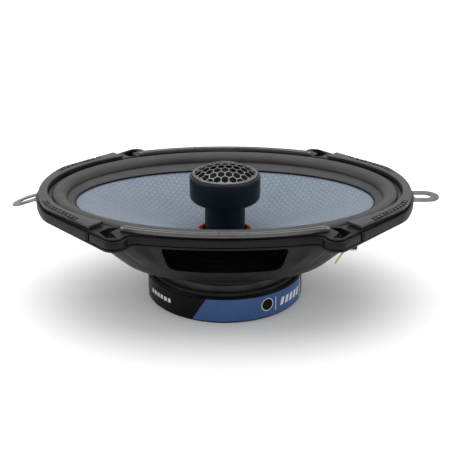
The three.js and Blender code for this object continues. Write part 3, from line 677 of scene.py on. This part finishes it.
def build_basket():
    cup = 44
    floor = 27
    mouth_a, mouth_b = BASKET_MOUTH
    profile = [
        (20, 20, BASKET_BOTTOM), (cup - 0.6, cup - 0.6, BASKET_BOTTOM), (cup, cup, BASKET_BOTTOM + 0.6),
        (cup, cup, floor - 1.4), (cup + 0.5, cup + 0.4, floor - 0.5), (cup + 1.6, cup + 1.2, floor),
        (59.0, 47.6, floor, 2.2), (61.6, 49.0, 27.1, 2.3), (63.6, 50.1, 27.6, 2.3), (65.0, 51.0, 28.3, 2.3),
    ]
    wall = bezier_wall((66, 51.6, 29, 2.3), (85, 65, 44, 2), (mouth_a, mouth_b, FLANGE_TOP - 0.02, 2))
    profile += wall
    profile += [(a - 1.5, b - 1.3, z, n) for a, b, z, n in reversed(wall)]
    profile += [
        (62.8, 49.6, 28.8, 2.3), (60.2, 47.6, floor + SHEET, 2.3),
        (cup - SHEET, cup - SHEET, floor + SHEET), (cup - SHEET, cup - SHEET, BASKET_BOTTOM + SHEET),
        (20, 20, BASKET_BOTTOM + SHEET),
    ]
    shell = oval_turned("basket", profile, 256, ear_crease)
    for half, loop in ((100, window_loop(35.5, 31.5, 37.6, 57)), (130, window_loop(25, 21, 42.5, 56.5))):
        cutter = place(prism("cutter", loop, -half, half), UPRIGHT)
        if half == 130:
            moved(cutter, turn=math.pi / 2)
        carve(shell, cutter)
    carve(shell, terminal_frame(block("slot", -5, 9, -10.5, 10.5, SHELF_TOP, SHELF_TOP + 3)))
    bevel(shell, 0.35, 2, 50)
    dress(shell, "painted_steel", replaces=("basket",))

    mouth = ellipse((BASKET_MOUTH[0] - 1.0, BASKET_MOUTH[1] - 1.0))
    loops = [flange_outline(), mouth] + [chevron(sx, sy, 0.6) for sx, sy in CORNERS]
    flange = plate("basket_flange", loops, FLANGE_BOTTOM, FLANGE_TOP, 0.25)
    dress(flange, "painted_steel")

    shelf = block("terminal_shelf", -1.2, 8, -12.5, 12.5, SHELF_BOTTOM, SHELF_TOP, 0.3)
    dress(terminal_frame(shelf), "painted_steel")


# --- mounting ring
NOTCH = (74.2, 68.2)


def ring_cutters():
    """Notches beside the ears and the pockets that hold the end tabs."""
    cutters = []
    for sx, sy in CORNERS:
        notch = block("notch", -0.75, 0.75, -1.5, 1.5, RING_BOTTOM - 1, RING_TOP + 1)
        cutters.append(moved(notch, sx * NOTCH[0], sy * NOTCH[1], 0, sx * sy * (CHAMFER_ANGLE - math.pi / 2)))
    for side in (-1, 1):
        x0, x1 = sorted((side * 105.1, side * 116))
        cutters.append(block("pocket", x0, x1, -8.8, 8.8, RING_BOTTOM - 1, TAB_TOP + 0.3))
    return cutters


def build_ring():
    holes = [chevron(sx, sy) for sx, sy in CORNERS]
    upper = plate("mounting_ring", [flange_outline(1.9), ellipse(RING_OPENING), *holes],
                  LEDGE + 0.1, RING_TOP, 0.25)
    lower = plate("mounting_ring_lower", [flange_outline(0.15), ellipse(LEDGE_OPENING), *holes],
                  RING_BOTTOM, LEDGE + 0.8, 0.45)
    band = plate("mounting_ring_ledge", [ellipse(RING_OPENING, -1), ellipse(LEDGE_OPENING)],
                 LEDGE - 1, LEDGE + 0.05, 0.1)
    inner = prism("inner", ellipse(RING_OPENING, -0.3), LEDGE, RING_TOP)
    dress(carve(upper, *ring_cutters()), "frame_plastic", replaces=("mounting_ring",))
    dress(carve(lower, inner, *ring_cutters()), "frame_plastic")
    dress(band, "frame_plastic")
    build_skirts()


def build_skirts():
    """Finely ribbed skirts round both ends of the ring, below the raised caps."""
    rib_pitch, rib_depth, thickness = 1.3, 0.16, 1.1
    for name, side in (("left", -1), ("right", 1)):
        run = end_stretch(0.0, NOTCH[1] - 1.6)
        fine = []
        for p, q in zip(run, run[1:]):
            steps = max(1, round(math.dist(p, q) / (rib_pitch / 4)))
            fine += [(mix(p[0], q[0], i / steps), mix(p[1], q[1], i / steps)) for i in range(steps)]
        travelled = 0.0
        outer = []
        for i, p in enumerate(fine[1:-1], 1):
            travelled += math.dist(p, fine[i - 1])
            along = (Vector(fine[i + 1]) - Vector(fine[i - 1])).normalized()
            out = Vector((along.y, -along.x))
            lift = rib_depth * (0.5 + 0.5 * math.cos(TAU * travelled / rib_pitch))
            outer.append(tuple(Vector(p) + out * (lift + 0.25)))
        inner = end_stretch(thickness, NOTCH[1] - 1.6)
        loop = mirrored(tidy_loop(outer + inner[::-1], 0.02), side)
        skirt = prism(f"end_skirt_{name}", loop, RING_BOTTOM + 0.05, RING_TOP - 1.1)
        pocket = block("pocket", *sorted((side * 105, side * 118)), -8.8, 8.8, RING_BOTTOM - 1, TAB_TOP + 0.3)
        carve(skirt, pocket)
        dress(bevel(skirt, 0.22, 2, 60), "frame_plastic")


# --- trims
def offset_at(run, distance):
    """Point, direction along and outward direction at a distance along an open run of points."""
    for p, q in zip(run, run[1:]):
        length = math.dist(p, q)
        if distance <= length:
            along = (Vector(q) - Vector(p)).normalized()
            return Vector(p) + along * distance, along, Vector((along.y, -along.x))
        distance -= length
    raise ValueError("distance past the end of the run")


def build_end_trims():
    cut_line = 9.7
    outer_inset = 1.0
    run = end_stretch(outer_inset, 66)
    for name, side in (("left", -1), ("right", 1)):
        outer = [p for p in run if abs(p[1]) <= p[0] - cut_line]
        corner = outer[-1]
        shift = (corner[0] - cut_line - corner[1]) / 2
        tip = (corner[0] - shift, corner[1] + shift)
        outer = [(tip[0], -tip[1]), *outer, tip]
        a, b = RING_OPENING
        inner = [(a * math.cos(t), b * math.sin(t)) for t in [i * math.pi / 180 for i in range(-52, 53)]]
        inner = [p for p in inner if abs(p[1]) <= p[0] - cut_line]
        loop = tidy_loop(mirrored(outer + inner[::-1], side))
        cap = plate(f"end_trim_{name}", [loop], TRIM_BOTTOM, TRIM_TOP, 0.4)
        dress(carve(cap, *dash_channels(side)), "trim_plastic", replaces=(f"end_trim_{name}",))
        build_dashes(name, side)


DASH_INSET = 3.4
DASH_FIRST, DASH_PITCH, DASH_COUNT = 17.5, 3.3, 11
DASH_DEPTH = 0.75


def dash_places():
    """Distances of the dashes along each half of the middle line of an end cap."""
    middle = end_stretch(DASH_INSET, 66)
    length = sum(math.dist(p, q) for p, q in zip(middle, middle[1:]))
    near = [DASH_FIRST + i * DASH_PITCH for i in range(DASH_COUNT)]
    return middle, (near, [length - distance for distance in near])


def dash_channels(side):
    """The sunken bands, one in each half of a cap, that the dashes stand in."""
    middle, halves = dash_places()
    channels = []
    for distances in halves:
        low, high = min(distances) - 1.9, max(distances) + 1.9
        run = [offset_at(middle, mix(low, high, i / 30)) for i in range(31)]
        outer = [point + out * 1.55 for point, _, out in run]
        inner = [point - out * 1.55 for point, _, out in run]
        loop = mirrored([(p.x, p.y) for p in outer + inner[::-1]], side)
        channels.append(prism("channel", loop, TRIM_TOP - DASH_DEPTH, TRIM_TOP + 1))
    return channels


def build_dashes(name, side):
    """Plain raised dashes along each half of an end cap."""
    middle, halves = dash_places()
    dashes = []
    for distances in halves:
        for i, distance in enumerate(distances):
            point, along, _ = offset_at(middle, distance)
            turn = math.atan2(along.y, along.x * side)
            half = 1.15 if i % 3 else 0.75
            dash = block("dash", -half, half, -1.0, 1.0, TRIM_TOP - DASH_DEPTH - 0.1, TRIM_TOP + 0.15, 0.15)
            dashes.append(moved(dash, point.x * side, point.y, 0, turn))
    marks = dashes[0]
    marks.name = f"end_trim_marks_{name}"
    with bpy.context.temp_override(active_object=marks, object=marks, selected_editable_objects=dashes,
                                   selected_objects=dashes):
        bpy.ops.object.join()
    dress(marks, "trim_plastic")


def build_side_trims():
    half_span = 55
    outer_radius, outer_middle = 168, 76.8
    a, b = RING_OPENING

    def band(y_share_low, y_share_high, reach):
        xs = [reach * (2 * i / 60 - 1) for i in range(61)]

        def height(x, share):
            inner = b * math.sqrt(1 - (x / a) ** 2)
            outer = outer_middle - outer_radius + math.sqrt(outer_radius ** 2 - x * x)
            return mix(inner, outer, share)

        low = [(x, height(x, y_share_low)) for x in xs]
        high = [(x, height(x, y_share_high)) for x in xs]
        middle, radius = (low[-1][1] + high[-1][1]) / 2, (high[-1][1] - low[-1][1]) / 2
        nose = [(reach + radius * 0.8 * math.sin(t), middle - radius * math.cos(t))
                for t in [math.pi * i / 10 for i in range(1, 10)]]
        return low + nose + high[::-1] + [(-x, y) for x, y in reversed(nose)]

    for name, side in (("front", -1), ("rear", 1)):
        pieces = []
        groove_low, groove_high, groove_depth = 0.42, 0.58, 0.6
        parts = ((0.0, 1.0, half_span, TRIM_BOTTOM, TRIM_TOP - groove_depth, 0.1),
                 (0.04, groove_low, half_span - 0.7, TRIM_BOTTOM + 0.15, TRIM_TOP, 0.2),
                 (groove_high, 0.96, half_span - 0.7, TRIM_BOTTOM + 0.15, TRIM_TOP, 0.2))
        for low, high, reach, bottom, top, edge in parts:
            loop = tidy_loop(mirrored(band(low, high, reach), 1, side))
            pieces.append(plate(f"side_trim_{name}", [loop], bottom, top, edge))
        strip = union(*pieces)
        strip.name = f"side_trim_{name}"
        dress(strip, "strip_plastic", replaces=(f"side_trim_{name}",))


# --- end tabs
def build_tabs():
    bend_x = 113.2
    half, slot_half = 8.5, 3.5
    nose_x = TAB_TIP - half
    root_x = 105.4
    outline = [(root_x, -half + 0.6), (root_x + 0.6, -half)]
    outline += [(x, -half) for x in (110, 112, 114, 116, 118)]
    outline += arc(nose_x, 0, half, -math.pi / 2, math.pi / 2, 0.8)
    outline += [(x, half) for x in (118, 116, 114, 112, 110)] + [(root_x + 0.6, half), (root_x, half - 0.6)]
    slot = arc(nose_x, 0, slot_half, -math.pi / 2, math.pi / 2, 0.5)
    slot += arc(bend_x + 1.2 + 1.2, slot_half - 1.2, 1.2, math.pi / 2, math.pi, 0.3)
    slot += arc(bend_x + 1.2 + 1.2, -slot_half + 1.2, 1.2, math.pi, 1.5 * math.pi, 0.3)
    rivet_x = 108
    hole = circle(1.6, 24, rivet_x)
    for name, side, bend in (("left", -1, 18), ("right", 1, 0)):
        tab = plate(f"mounting_tab_{name}", [outline, slot, hole], TAB_BOTTOM, TAB_TOP, 0.28)
        bm = bmesh.new()
        bm.from_mesh(tab.data)
        for x in (112.8, 113.2, 113.6, 114.0, 114.4, 118, 121, 124, 127):
            geometry = bm.verts[:] + bm.edges[:] + bm.faces[:]
            bmesh.ops.bisect_plane(bm, geom=geometry, plane_co=(x * MM, 0, 0), plane_no=(1, 0, 0))
        pivot = Vector((bend_x, 0, TAB_BOTTOM)) * MM
        for vert in bm.verts:
            share = smooth((vert.co.x / MM - 112.6) / 1.8)
            turn = Matrix.Rotation(math.radians(bend) * share, 4, "Y")
            twist = Matrix.Rotation(math.radians(bend * 0.25) * share, 4, "X")
            vert.co = pivot + (turn @ twist @ (vert.co - pivot))
        bm.to_mesh(tab.data)
        bm.free()
        if side < 0:
            moved(tab, turn=math.pi)
        finish_mesh(tab, 40)
        dress(tab, "tab_steel", replaces=(f"mounting_tab_{name}",))
        rivet = [(0, -0.9), (1.8, -0.9), (2.6, -0.2), (2.6, 0), (1.3, 0), (1.3, 2.8), (2.6, 2.8), (1.8, 3.5),
                 (0, 3.5)]
        lifted = [(r, z + FLANGE_BOTTOM - 0.2) for r, z in rivet]
        head = turned(f"tab_rivet_{name}", rounded(lifted, 0.25), 48)
        dress(moved(head, side * rivet_x), "zinc_steel", replaces=(f"tab_rivet_{name}",))


# --- woofer
def build_surround():
    thickness, roll_height = 0.7, 3.5
    outer_foot, inner_foot = 64.7, 61.9
    steps = 30
    upper = [(106.2, 72.7, outer_foot)]
    for i in range(steps + 1):
        t = i / steps
        across = (1 - math.cos(math.pi * t)) / 2
        z = mix(outer_foot, inner_foot, t) + roll_height * math.sin(math.pi * t)
        upper.append((*(mix(p, q, across) for p, q in zip(ROLL_OUTER, ROLL_INNER)), z))
    lip = 6
    end = (*CONE_EDGE, CONE_EDGE_HEIGHT + 1)
    upper += [tuple(mix(p, q, smooth(i / lip)) for p, q in zip(upper[-1], end)) for i in range(1, lip)]
    upper += [(end[0] + 0.3, end[1] + 0.3, end[2] + 0.02), (end[0], end[1], end[2] - 0.2)]
    lower = [(a, b, z - thickness) for a, b, z in upper[:-1]]
    surround = oval_turned("surround", upper + lower[::-1], 256)
    dress(surround, "surround_rubber", body=None, replaces=("surround",))
    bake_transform(surround)

    # A near-black bead round the surround's inner lip edge: a painted shadow line where the lip stands over
    # the cone.
    bead_radius = 0.4
    centre = (CONE_EDGE[0] - 0.35, CONE_EDGE[1] - 0.35, CONE_EDGE_HEIGHT + 0.35)
    profile = [(centre[0] + x, centre[1] + x, centre[2] + z) for x, z in circle(bead_radius, 10)]
    bead = oval_turned("surround_painted_shadow_bead", profile, 256, None, 80)
    dress(bead, "boot_rubber", "woofer")


def cone_height(t):
    return mix(NECK_HEIGHT, CONE_EDGE_HEIGHT, t ** 1.15)


def build_cone():
    thickness, steps = 0.9, 48
    upper = []
    for i in range(steps + 1):
        t = i / steps
        upper.append((mix(NECK_RADIUS, CONE_EDGE[0], t), mix(NECK_RADIUS, CONE_EDGE[1], t), cone_height(t)))
    upper.append((ROLL_INNER[0] - 0.6, ROLL_INNER[1] - 0.6, 61.1))
    lower = [(a, b, z - thickness) for a, b, z in upper]
    dress(oval_turned("cone", upper + lower[::-1], 256), "cone_weave", body="woofer", replaces=("cone",))

    glue = [(14.0, 39.2), (15.4, 39.7), (14.9, 40.2), (14.0, 40.5)]
    dress(turned("neck_glue", rounded(glue, 0.4), 96, 80), "boot_rubber", "woofer")


def build_former():
    inner, outer = 13.6, 13.9
    profile = [(inner, FORMER_BOTTOM), (outer, FORMER_BOTTOM), (outer, FORMER_TOP), (inner, FORMER_TOP)]
    former = turned("voice_coil_former", rounded(profile, 0.08), 128)
    dress(former, "former_film", body="woofer", replaces=("voice_coil_former",))


def build_spider():
    thickness, waves, steps = 0.5, 5, 80
    inner_radius, outer_radius = 15.6, 44.6
    inner_z, outer_z = 33.4, 29.2
    upper = [(14.2, inner_z + 1.2)]
    for i in range(steps + 1):
        t = i / steps
        wave = 0.8 * math.sin(TAU * waves * t) * smooth(4 * t) * smooth(4 * (1 - t))
        upper.append((mix(inner_radius, outer_radius, t), mix(inner_z, outer_z, t) + wave))
    upper.append((48.6, outer_z))
    lower = [(r, z - thickness) for r, z in upper]
    spider = turned("spider", upper + lower[::-1], 128)
    dress(spider, "spider_cloth", body=None, replaces=("spider",))
    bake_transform(spider)


# --- motor
def build_motor():
    wall, floor, bore = 2.5, 1.5, 8
    lip = BOOT_TOP
    body = [(bore, 0), (BOOT_RADIUS - 0.3, 0), (BOOT_RADIUS, 0.3), (BOOT_RADIUS, lip - 0.5)]
    ridges = []
    for i in range(3):
        r = BOOT_RADIUS - 0.35 - i * 0.75
        ridges += [(r, lip), (r - 0.3, lip), (r - 0.4, lip - 0.35), (r - 0.65, lip - 0.35)]
    body += ridges + [(BOOT_RADIUS - wall, lip - 0.1), (BOOT_RADIUS - wall, floor), (bore, floor)]
    boot = turned("magnet_boot", rounded(body, 0.12, 2), 192)
    dress(boot, "boot_rubber", replaces=("magnet_boot",))

    bottom, top = span("top_plate")[0][2], span("top_plate")[1][2]
    profile = [(14.8, bottom), (PLATE_RADIUS, bottom), (PLATE_RADIUS, top), (14.8, top)]
    dress(turned("top_plate", rounded(profile, 0.5), 160), "dark_steel", replaces=("top_plate",))

    bottom, top = span("magnet")[0][2], span("magnet")[1][2]
    radius = span("magnet")[1][0]
    profile = [(22, bottom), (radius - 1, bottom), (radius, bottom + 1), (radius, top - 1), (radius - 1, top),
               (22, top)]
    dress(turned("magnet", rounded(profile, 0.2), 160), "ferrite", replaces=("magnet",))


def label_patch(name, look, left, right, bottom, top, lift=0.0):
    """A piece of printed film round the boot. left and right are (angle at the bottom, angle at the top)."""
    columns, rows = 48, 6
    inner, outer = BOOT_RADIUS + 0.3, BOOT_RADIUS + 0.6 + lift
    verts, faces = [], []
    for radius in (inner, outer):
        for j in range(rows + 1):
            v = j / rows
            z = mix(bottom, top, v)
            start, end = mix(*left, v), mix(*right, v)
            for i in range(columns + 1):
                angle = math.radians(mix(start, end, i / columns) - 90)
                verts.append((radius * math.cos(angle), radius * math.sin(angle), z))
    layer = (rows + 1) * (columns + 1)

    def at(side, i, j):
        return side * layer + j * (columns + 1) + i

    for j in range(rows):
        for i in range(columns):
            for side in (0, 1):
                faces.append((at(side, i, j), at(side, i + 1, j), at(side, i + 1, j + 1), at(side, i, j + 1)))
    for i in range(columns):
        for j in (0, rows):
            faces.append((at(0, i, j), at(0, i + 1, j), at(1, i + 1, j), at(1, i, j)))
    for j in range(rows):
        for i in (0, columns):
            faces.append((at(0, i, j), at(0, i, j + 1), at(1, i, j + 1), at(1, i, j)))
    return dress(make(name, verts, faces), look)


def label_disc(name, look, azimuth, height, size, lift):
    """A plain round spot of film on the boot."""
    inner, outer = BOOT_RADIUS + 0.3, BOOT_RADIUS + 0.6 + lift
    verts, faces = [], []
    for radius in (inner, outer):
        for i in range(48):
            turn = TAU * i / 48
            angle = math.radians(azimuth - 90) + size * math.cos(turn) / radius
            verts.append((radius * math.cos(angle), radius * math.sin(angle), height + size * math.sin(turn)))
    faces += [tuple(range(47, -1, -1)), tuple(range(48, 96))]
    faces += [(i, (i + 1) % 48, 48 + (i + 1) % 48, 48 + i) for i in range(48)]
    return dress(make(name, verts, faces), look)


def build_label():
    low, high = span("label")
    bottom, top = low[2], high[2]
    seam = (-23.3, -13.2)
    stripe = (69, 70.4)
    blue = label_patch("label_blue", "label_blue", seam, (stripe[0], stripe[0]), bottom, top)
    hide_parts("label")
    label_patch("label_black_left", "label_black", (-75, -75), seam, bottom, top)
    label_patch("label_stripe", "label_white", (stripe[0], stripe[0]), (stripe[1], stripe[1]), bottom, top)
    label_patch("label_black_right", "label_black", (stripe[1], stripe[1]), (72, 72), bottom, top)
    for i in range(5):
        start = 42.5 + i * 4.9
        edges = (start, start + 1.6), (start + 2.9, start + 4.5)
        label_patch(f"label_bar_{i + 1}", "label_white", *edges, 5.6, 10.4, 0.04)
    label_disc("label_dot_ring", "label_white", 31, 9, 4.1, 0.04)
    label_disc("label_dot", "label_black", 31, 9, 3.6, 0.08)
    label_patch("label_rule", "label_white", (38, 38), (38.5, 38.5), 3.6, 12.4, 0.04)
    for i in range(6):
        start = -65 + i * 4.1
        edges = (start, start), (start + 2.7, start + 2.7)
        label_patch(f"label_tick_{i + 1}", "label_white", *edges, 7.2, 9.8, 0.04)


# --- tweeter
def build_post():
    bore, floor = 9.5, 25
    profile = [(2.8, POST_BOTTOM), (POST_RADIUS, POST_BOTTOM), (POST_RADIUS, POST_TOP), (bore, POST_TOP),
               (bore, floor), (2.8, floor)]
    post = turned("tweeter_post", rounded(profile, 0.4), 128)
    hole = place(prism("hole", circle(1.3, 24), -20, 20), SIDEWAYS)
    moved(hole, z=LEAD_HEIGHT)
    dress(carve(post, hole), "gloss_black", replaces=("tweeter_post",))


def build_housing():
    radius, bottom, top = HOUSING_RADIUS, POST_TOP + 0.3, HOUSING_TOP
    round_low = 3.4
    corner = [(radius - round_low + round_low * math.sin(t), bottom + round_low - round_low * math.cos(t))
              for t in [math.pi / 2 * i / 10 for i in range(11)]]
    profile = [(7, 55.2), (9.2, 55.2), (9.2, bottom)] + corner
    profile += [(radius, top - 1.3), (radius - 0.25, top - 0.7), (radius - 0.8, top - 0.2),
                (radius - 1.2, top)]
    profile += [(19.9, top), (19.9, 74.2), (19, 74.2), (19, 70.8), (17, 70.8), (17, 62.6), (7, 62.6)]
    dress(turned("tweeter_housing", profile, 160, 40), "gloss_black", replaces=("tweeter_housing",))


def build_grille():
    sphere, pitch, across, thickness = 32.3, 4.6, 4.05, 0.5
    centre_z = GRILLE_TOP - sphere
    rim_radius = 18.7
    row_step = pitch * math.cos(math.pi / 6)
    holes = []
    corner_radius = across / math.sqrt(3)
    for row in range(-5, 6):
        for column in range(-5, 6):
            x, y = (column + (abs(row) % 2) / 2) * pitch, row * row_step
            if math.hypot(x, y) > rim_radius:
                continue
            angles = [TAU * (i + 0.5) / 6 for i in range(6)]
            loop = [(x + corner_radius * math.cos(t), y + corner_radius * math.sin(t)) for t in angles]
            reach = rim_radius - 0.5
            loop = [p if math.hypot(*p) < reach else tuple(Vector(p).normalized() * reach) for p in loop]
            holes.append(loop)
    mesh_plate = prism("tweeter_grille", circle(rim_radius, 96), -thickness / 2, thickness / 2)
    cutters = bpy.data.meshes.new("cutters")
    verts, faces = [], []
    for loop in holes:
        base = len(verts)
        verts += [(x * MM, y * MM, z * MM) for z in (-2, 2) for x, y in loop]
        faces += [tuple(base + i for i in range(5, -1, -1)), tuple(base + i for i in range(6, 12))]
        faces += [(base + i, base + (i + 1) % 6, base + 6 + (i + 1) % 6, base + 6 + i) for i in range(6)]
    cutters.from_pydata(verts, [], faces)
    carve(mesh_plate, add("cutters", cutters))
    bm = bmesh.new()
    bm.from_mesh(mesh_plate.data)
    bmesh.ops.triangulate(bm, faces=bm.faces)
    long_edges = [e for e in bm.edges if e.calc_length() > 1.6 * MM]
    bmesh.ops.subdivide_edges(bm, edges=long_edges, cuts=2)
    for vert in bm.verts:
        x, y, z = vert.co / MM
        flat = math.hypot(x, y)
        angle = math.asin(min(flat / sphere, 1))
        radius = sphere + z - thickness / 2
        shrink = radius * math.sin(angle) / flat if flat > 1e-6 else 1
        vert.co = Vector((x * shrink, y * shrink, centre_z + radius * math.cos(angle))) * MM
    bm.to_mesh(mesh_plate.data)
    bm.free()
    finish_mesh(mesh_plate, 30)
    bevel(mesh_plate, 0.12, 2, 50)
    dress(mesh_plate, "grille_steel", replaces=("tweeter_grille",))

    edge_z = centre_z + math.sqrt(sphere ** 2 - rim_radius ** 2)
    rim = [(18.2, 74.6), (19.6, 74.6), (19.6, edge_z), (19.3, edge_z + 0.3), (18.7, edge_z + 0.25),
           (18.2, edge_z - 0.4)]
    dress(turned("tweeter_grille_rim", rounded(rim, 0.15), 160), "grille_steel")


def build_dome():
    radius, height, bottom, thickness = 10.7, 4, 73, 0.4
    sphere = (radius ** 2 + height ** 2) / (2 * height)
    arc_points = [(sphere * math.sin(t), bottom + height - sphere + sphere * math.cos(t))
                  for t in [math.asin(radius / sphere) * i / 20 for i in range(21)]]
    inside = [(r, z - thickness) for r, z in arc_points]
    dome = turned("tweeter_dome", arc_points + inside[::-1], 96)
    dress(dome, "silk", body="tweeter", replaces=("tweeter_dome",))
    thin, steps = 0.3, 16
    roll = [(mix(11, 13.8, i / steps), mix(73, 72.9, i / steps) + 1.2 * math.sin(math.pi * i / steps))
            for i in range(steps + 1)]
    upper = roll + [(15.4, 72.9)]
    ring = turned("tweeter_surround", upper + [(r, z - thin) for r, z in upper][::-1], 96)
    dress(ring, "silk", body=None, replaces=("tweeter_surround",))
    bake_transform(ring)


def build_leads():
    for name, side in (("red", -1), ("orange", 1)):
        points = [(side * 5.4, 0, 61.1), (side * 5.6, 0, 54), (side * 8.2, 0, 44.4), (side * 12.4, 0, 43),
                  (side * 14.6, 0, 41.7), (side * 16.2, 0, 40.3)]
        lead = tube(f"tweeter_lead_{name}", points, 0.65)
        dress(lead, f"{name}_wire", body=None, replaces=(f"tweeter_lead_{name}",))
        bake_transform(lead)


# --- terminals and crossover
TERMINALS = (("positive", 8, 4.8, 0), ("negative", -8, 2.8, -12))


def build_terminals():
    board, gap, thick = 1.6, 0.3, 0.8
    board_top = SHELF_BOTTOM - gap
    top = board_top - board - gap
    holes = [circle(1.3, 24, TERMINAL_RIVET_X, shift) for _, shift, _, _ in TERMINALS]
    outline = [(1.8, -11.5), (8, -11.5), (8, 11.5), (1.8, 11.5)]
    board_piece = plate("terminal_board", [outline, *holes], board_top - board, board_top, 0.2)
    dress(terminal_frame(board_piece), "fibre_board", replaces=("terminal_board",))
    for name, shift, width, cone_y in TERMINALS:
        leg = [(3, top), (1.4, top), (-4.7, 23.2), (-4.8, 22.7), (-4.3, 22.6), (1.85, top - thick),
               (3, top - thick)]
        blade = place(prism(f"terminal_{name}", leg, -width / 2, width / 2), UPRIGHT)
        union(moved(blade, y=shift), block("foot", 2, 7.8, shift - 3, shift + 3, top - thick, top))
        bevel(blade, 0.18, 2, 30)
        dress(terminal_frame(blade), "brass", replaces=(f"terminal_{name}",))
        low, high = top - thick - 0.2, SHELF_TOP + 0.2
        shape = [(0, low - 0.7), (1.4, low - 0.7), (2, low), (1, low), (1, high), (2, high),
                 (1.4, high + 0.7), (0, high + 0.7)]
        rivet = moved(turned(f"terminal_rivet_{name}", rounded(shape, 0.2), 48), TERMINAL_RIVET_X, shift)
        dress(terminal_frame(rivet), "brass", replaces=(f"terminal_rivet_{name}",))
        build_tinsel(name, shift, cone_y)


def build_tinsel(name, shift, cone_y):
    height = SHELF_TOP + 1.6
    turn = Matrix.Rotation(TERMINAL_ANGLE, 2)
    points = []
    for x, y, z in ((TERMINAL_RIVET_X, shift, height), (0, shift, height), (-6, shift * 0.9, height + 0.8)):
        flat = turn @ Vector((x, y))
        points.append((flat.x + TERMINAL_CENTRE[0], flat.y + TERMINAL_CENTRE[1], z))
    points += [(50, cone_y, 41.4), (38, cone_y, 41.8)]
    lead = tube(f"tinsel_lead_{name}", points, 0.6)
    dress(lead, "tinsel_braid", None, (f"tinsel_lead_{name}",))
    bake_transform(lead)


def build_capacitor():
    low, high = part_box("crossover_capacitor")
    centre = [(a + b) / 2 / MM for a, b in zip(low, high)]
    radius, half = 4, 8
    profile = [(0, -half), (radius, -half), (radius, half - 2.2), (radius - 0.5, half - 1.8),
               (radius, half - 1.4), (radius, half), (0, half)]
    can = place(turned("crossover_capacitor", rounded(profile, 0.5), 64), SIDEWAYS)
    moved(can, *centre, math.radians(-34))
    dress(can, "capacitor_sleeve", replaces=("crossover_capacitor",))


# --- carried-over CAD nodes
CARRIED = {
    "dark_steel": ("yoke", "tweeter_plate", "tweeter_yoke"),
    "zinc_steel": (*(f"plate_rivet_{i}" for i in range(1, 5)), "post_screw", "post_nut"),
    "copper_wire": ("voice_coil", "tweeter_voice_coil"),
    "neodymium": ("tweeter_magnet",),
    "frame_plastic": ("tweeter_faceplate",),
}


def dress_carried():
    for look, names in CARRIED.items():
        for name in names:
            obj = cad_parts[name]
            for slot in obj.material_slots:
                slot.material = LOOKS[look]


# --- studio
def build_studio():
    reach = 20000
    floor = make("floor", [(x * reach, y * reach, 0) for x, y in CORNERS], [(0, 1, 2, 3)])
    look = Look("studio_floor")
    look.link(look.blend(look.noise(2, 2), (0.93, 0.93, 0.93), (0.96, 0.96, 0.96)), "Base Color")
    look.fix(Roughness=0.8)
    floor.data.materials.append(look.material)

    world = bpy.data.worlds.new("studio")
    world.use_nodes = True
    nodes, links = world.node_tree.nodes, world.node_tree.links
    direction = nodes.new("ShaderNodeSeparateXYZ")
    links.new(nodes.new("ShaderNodeTexCoord").outputs["Generated"], direction.inputs[0])
    behind = nodes.new("ShaderNodeMapRange")
    links.new(direction.outputs["Y"], behind.inputs["Value"])
    for socket, value in (("From Min", -0.8), ("From Max", 0.4), ("To Min", 0.5), ("To Max", 0.95)):
        behind.inputs[socket].default_value = value
    links.new(behind.outputs[0], nodes["Background"].inputs["Strength"])
    nodes["Background"].inputs["Color"].default_value = (1, 1, 1, 1)
    bpy.context.scene.world = world

    lights = (("key_top", (0.0, 0.2, 1.15), (0, 0, 0.05), 1.5, 10),
              ("left_box", (-1.0, -0.25, 0.6), (0, 0, 0.04), 0.7, 4),
              ("right_box", (1.0, -0.35, 0.55), (0, 0, 0.04), 0.7, 3))
    for name, position, target, size, power in lights:
        light = bpy.data.lights.new(name, "AREA")
        light.size = size
        light.energy = power
        obj = add(name, light)
        obj.location = position
        obj.rotation_euler = (Vector(target) - Vector(position)).to_track_quat("-Z", "Y").to_euler()
    bpy.context.scene.view_settings.view_transform = "Standard"


def build_camera():
    elevation = math.radians(20.3)
    below = math.radians(2.1)
    distance = 0.5976
    camera = bpy.data.cameras.new("camera")
    camera.lens = 79.15
    camera.sensor_width = 36
    obj = add("camera", camera)
    obj.location = (0, -distance * math.cos(elevation), RING_TOP * MM + distance * math.sin(elevation))
    obj.rotation_euler = (math.pi / 2 - elevation - below, 0, 0)
    bpy.context.scene.camera = obj


for build in (build_camera, build_studio, build_basket, build_ring, build_end_trims, build_side_trims,
              build_tabs, build_surround, build_cone, build_former, build_spider, build_motor, build_label,
              build_post, build_housing, build_grille, build_dome, build_leads, build_terminals,
              build_capacitor, dress_carried):
    build()
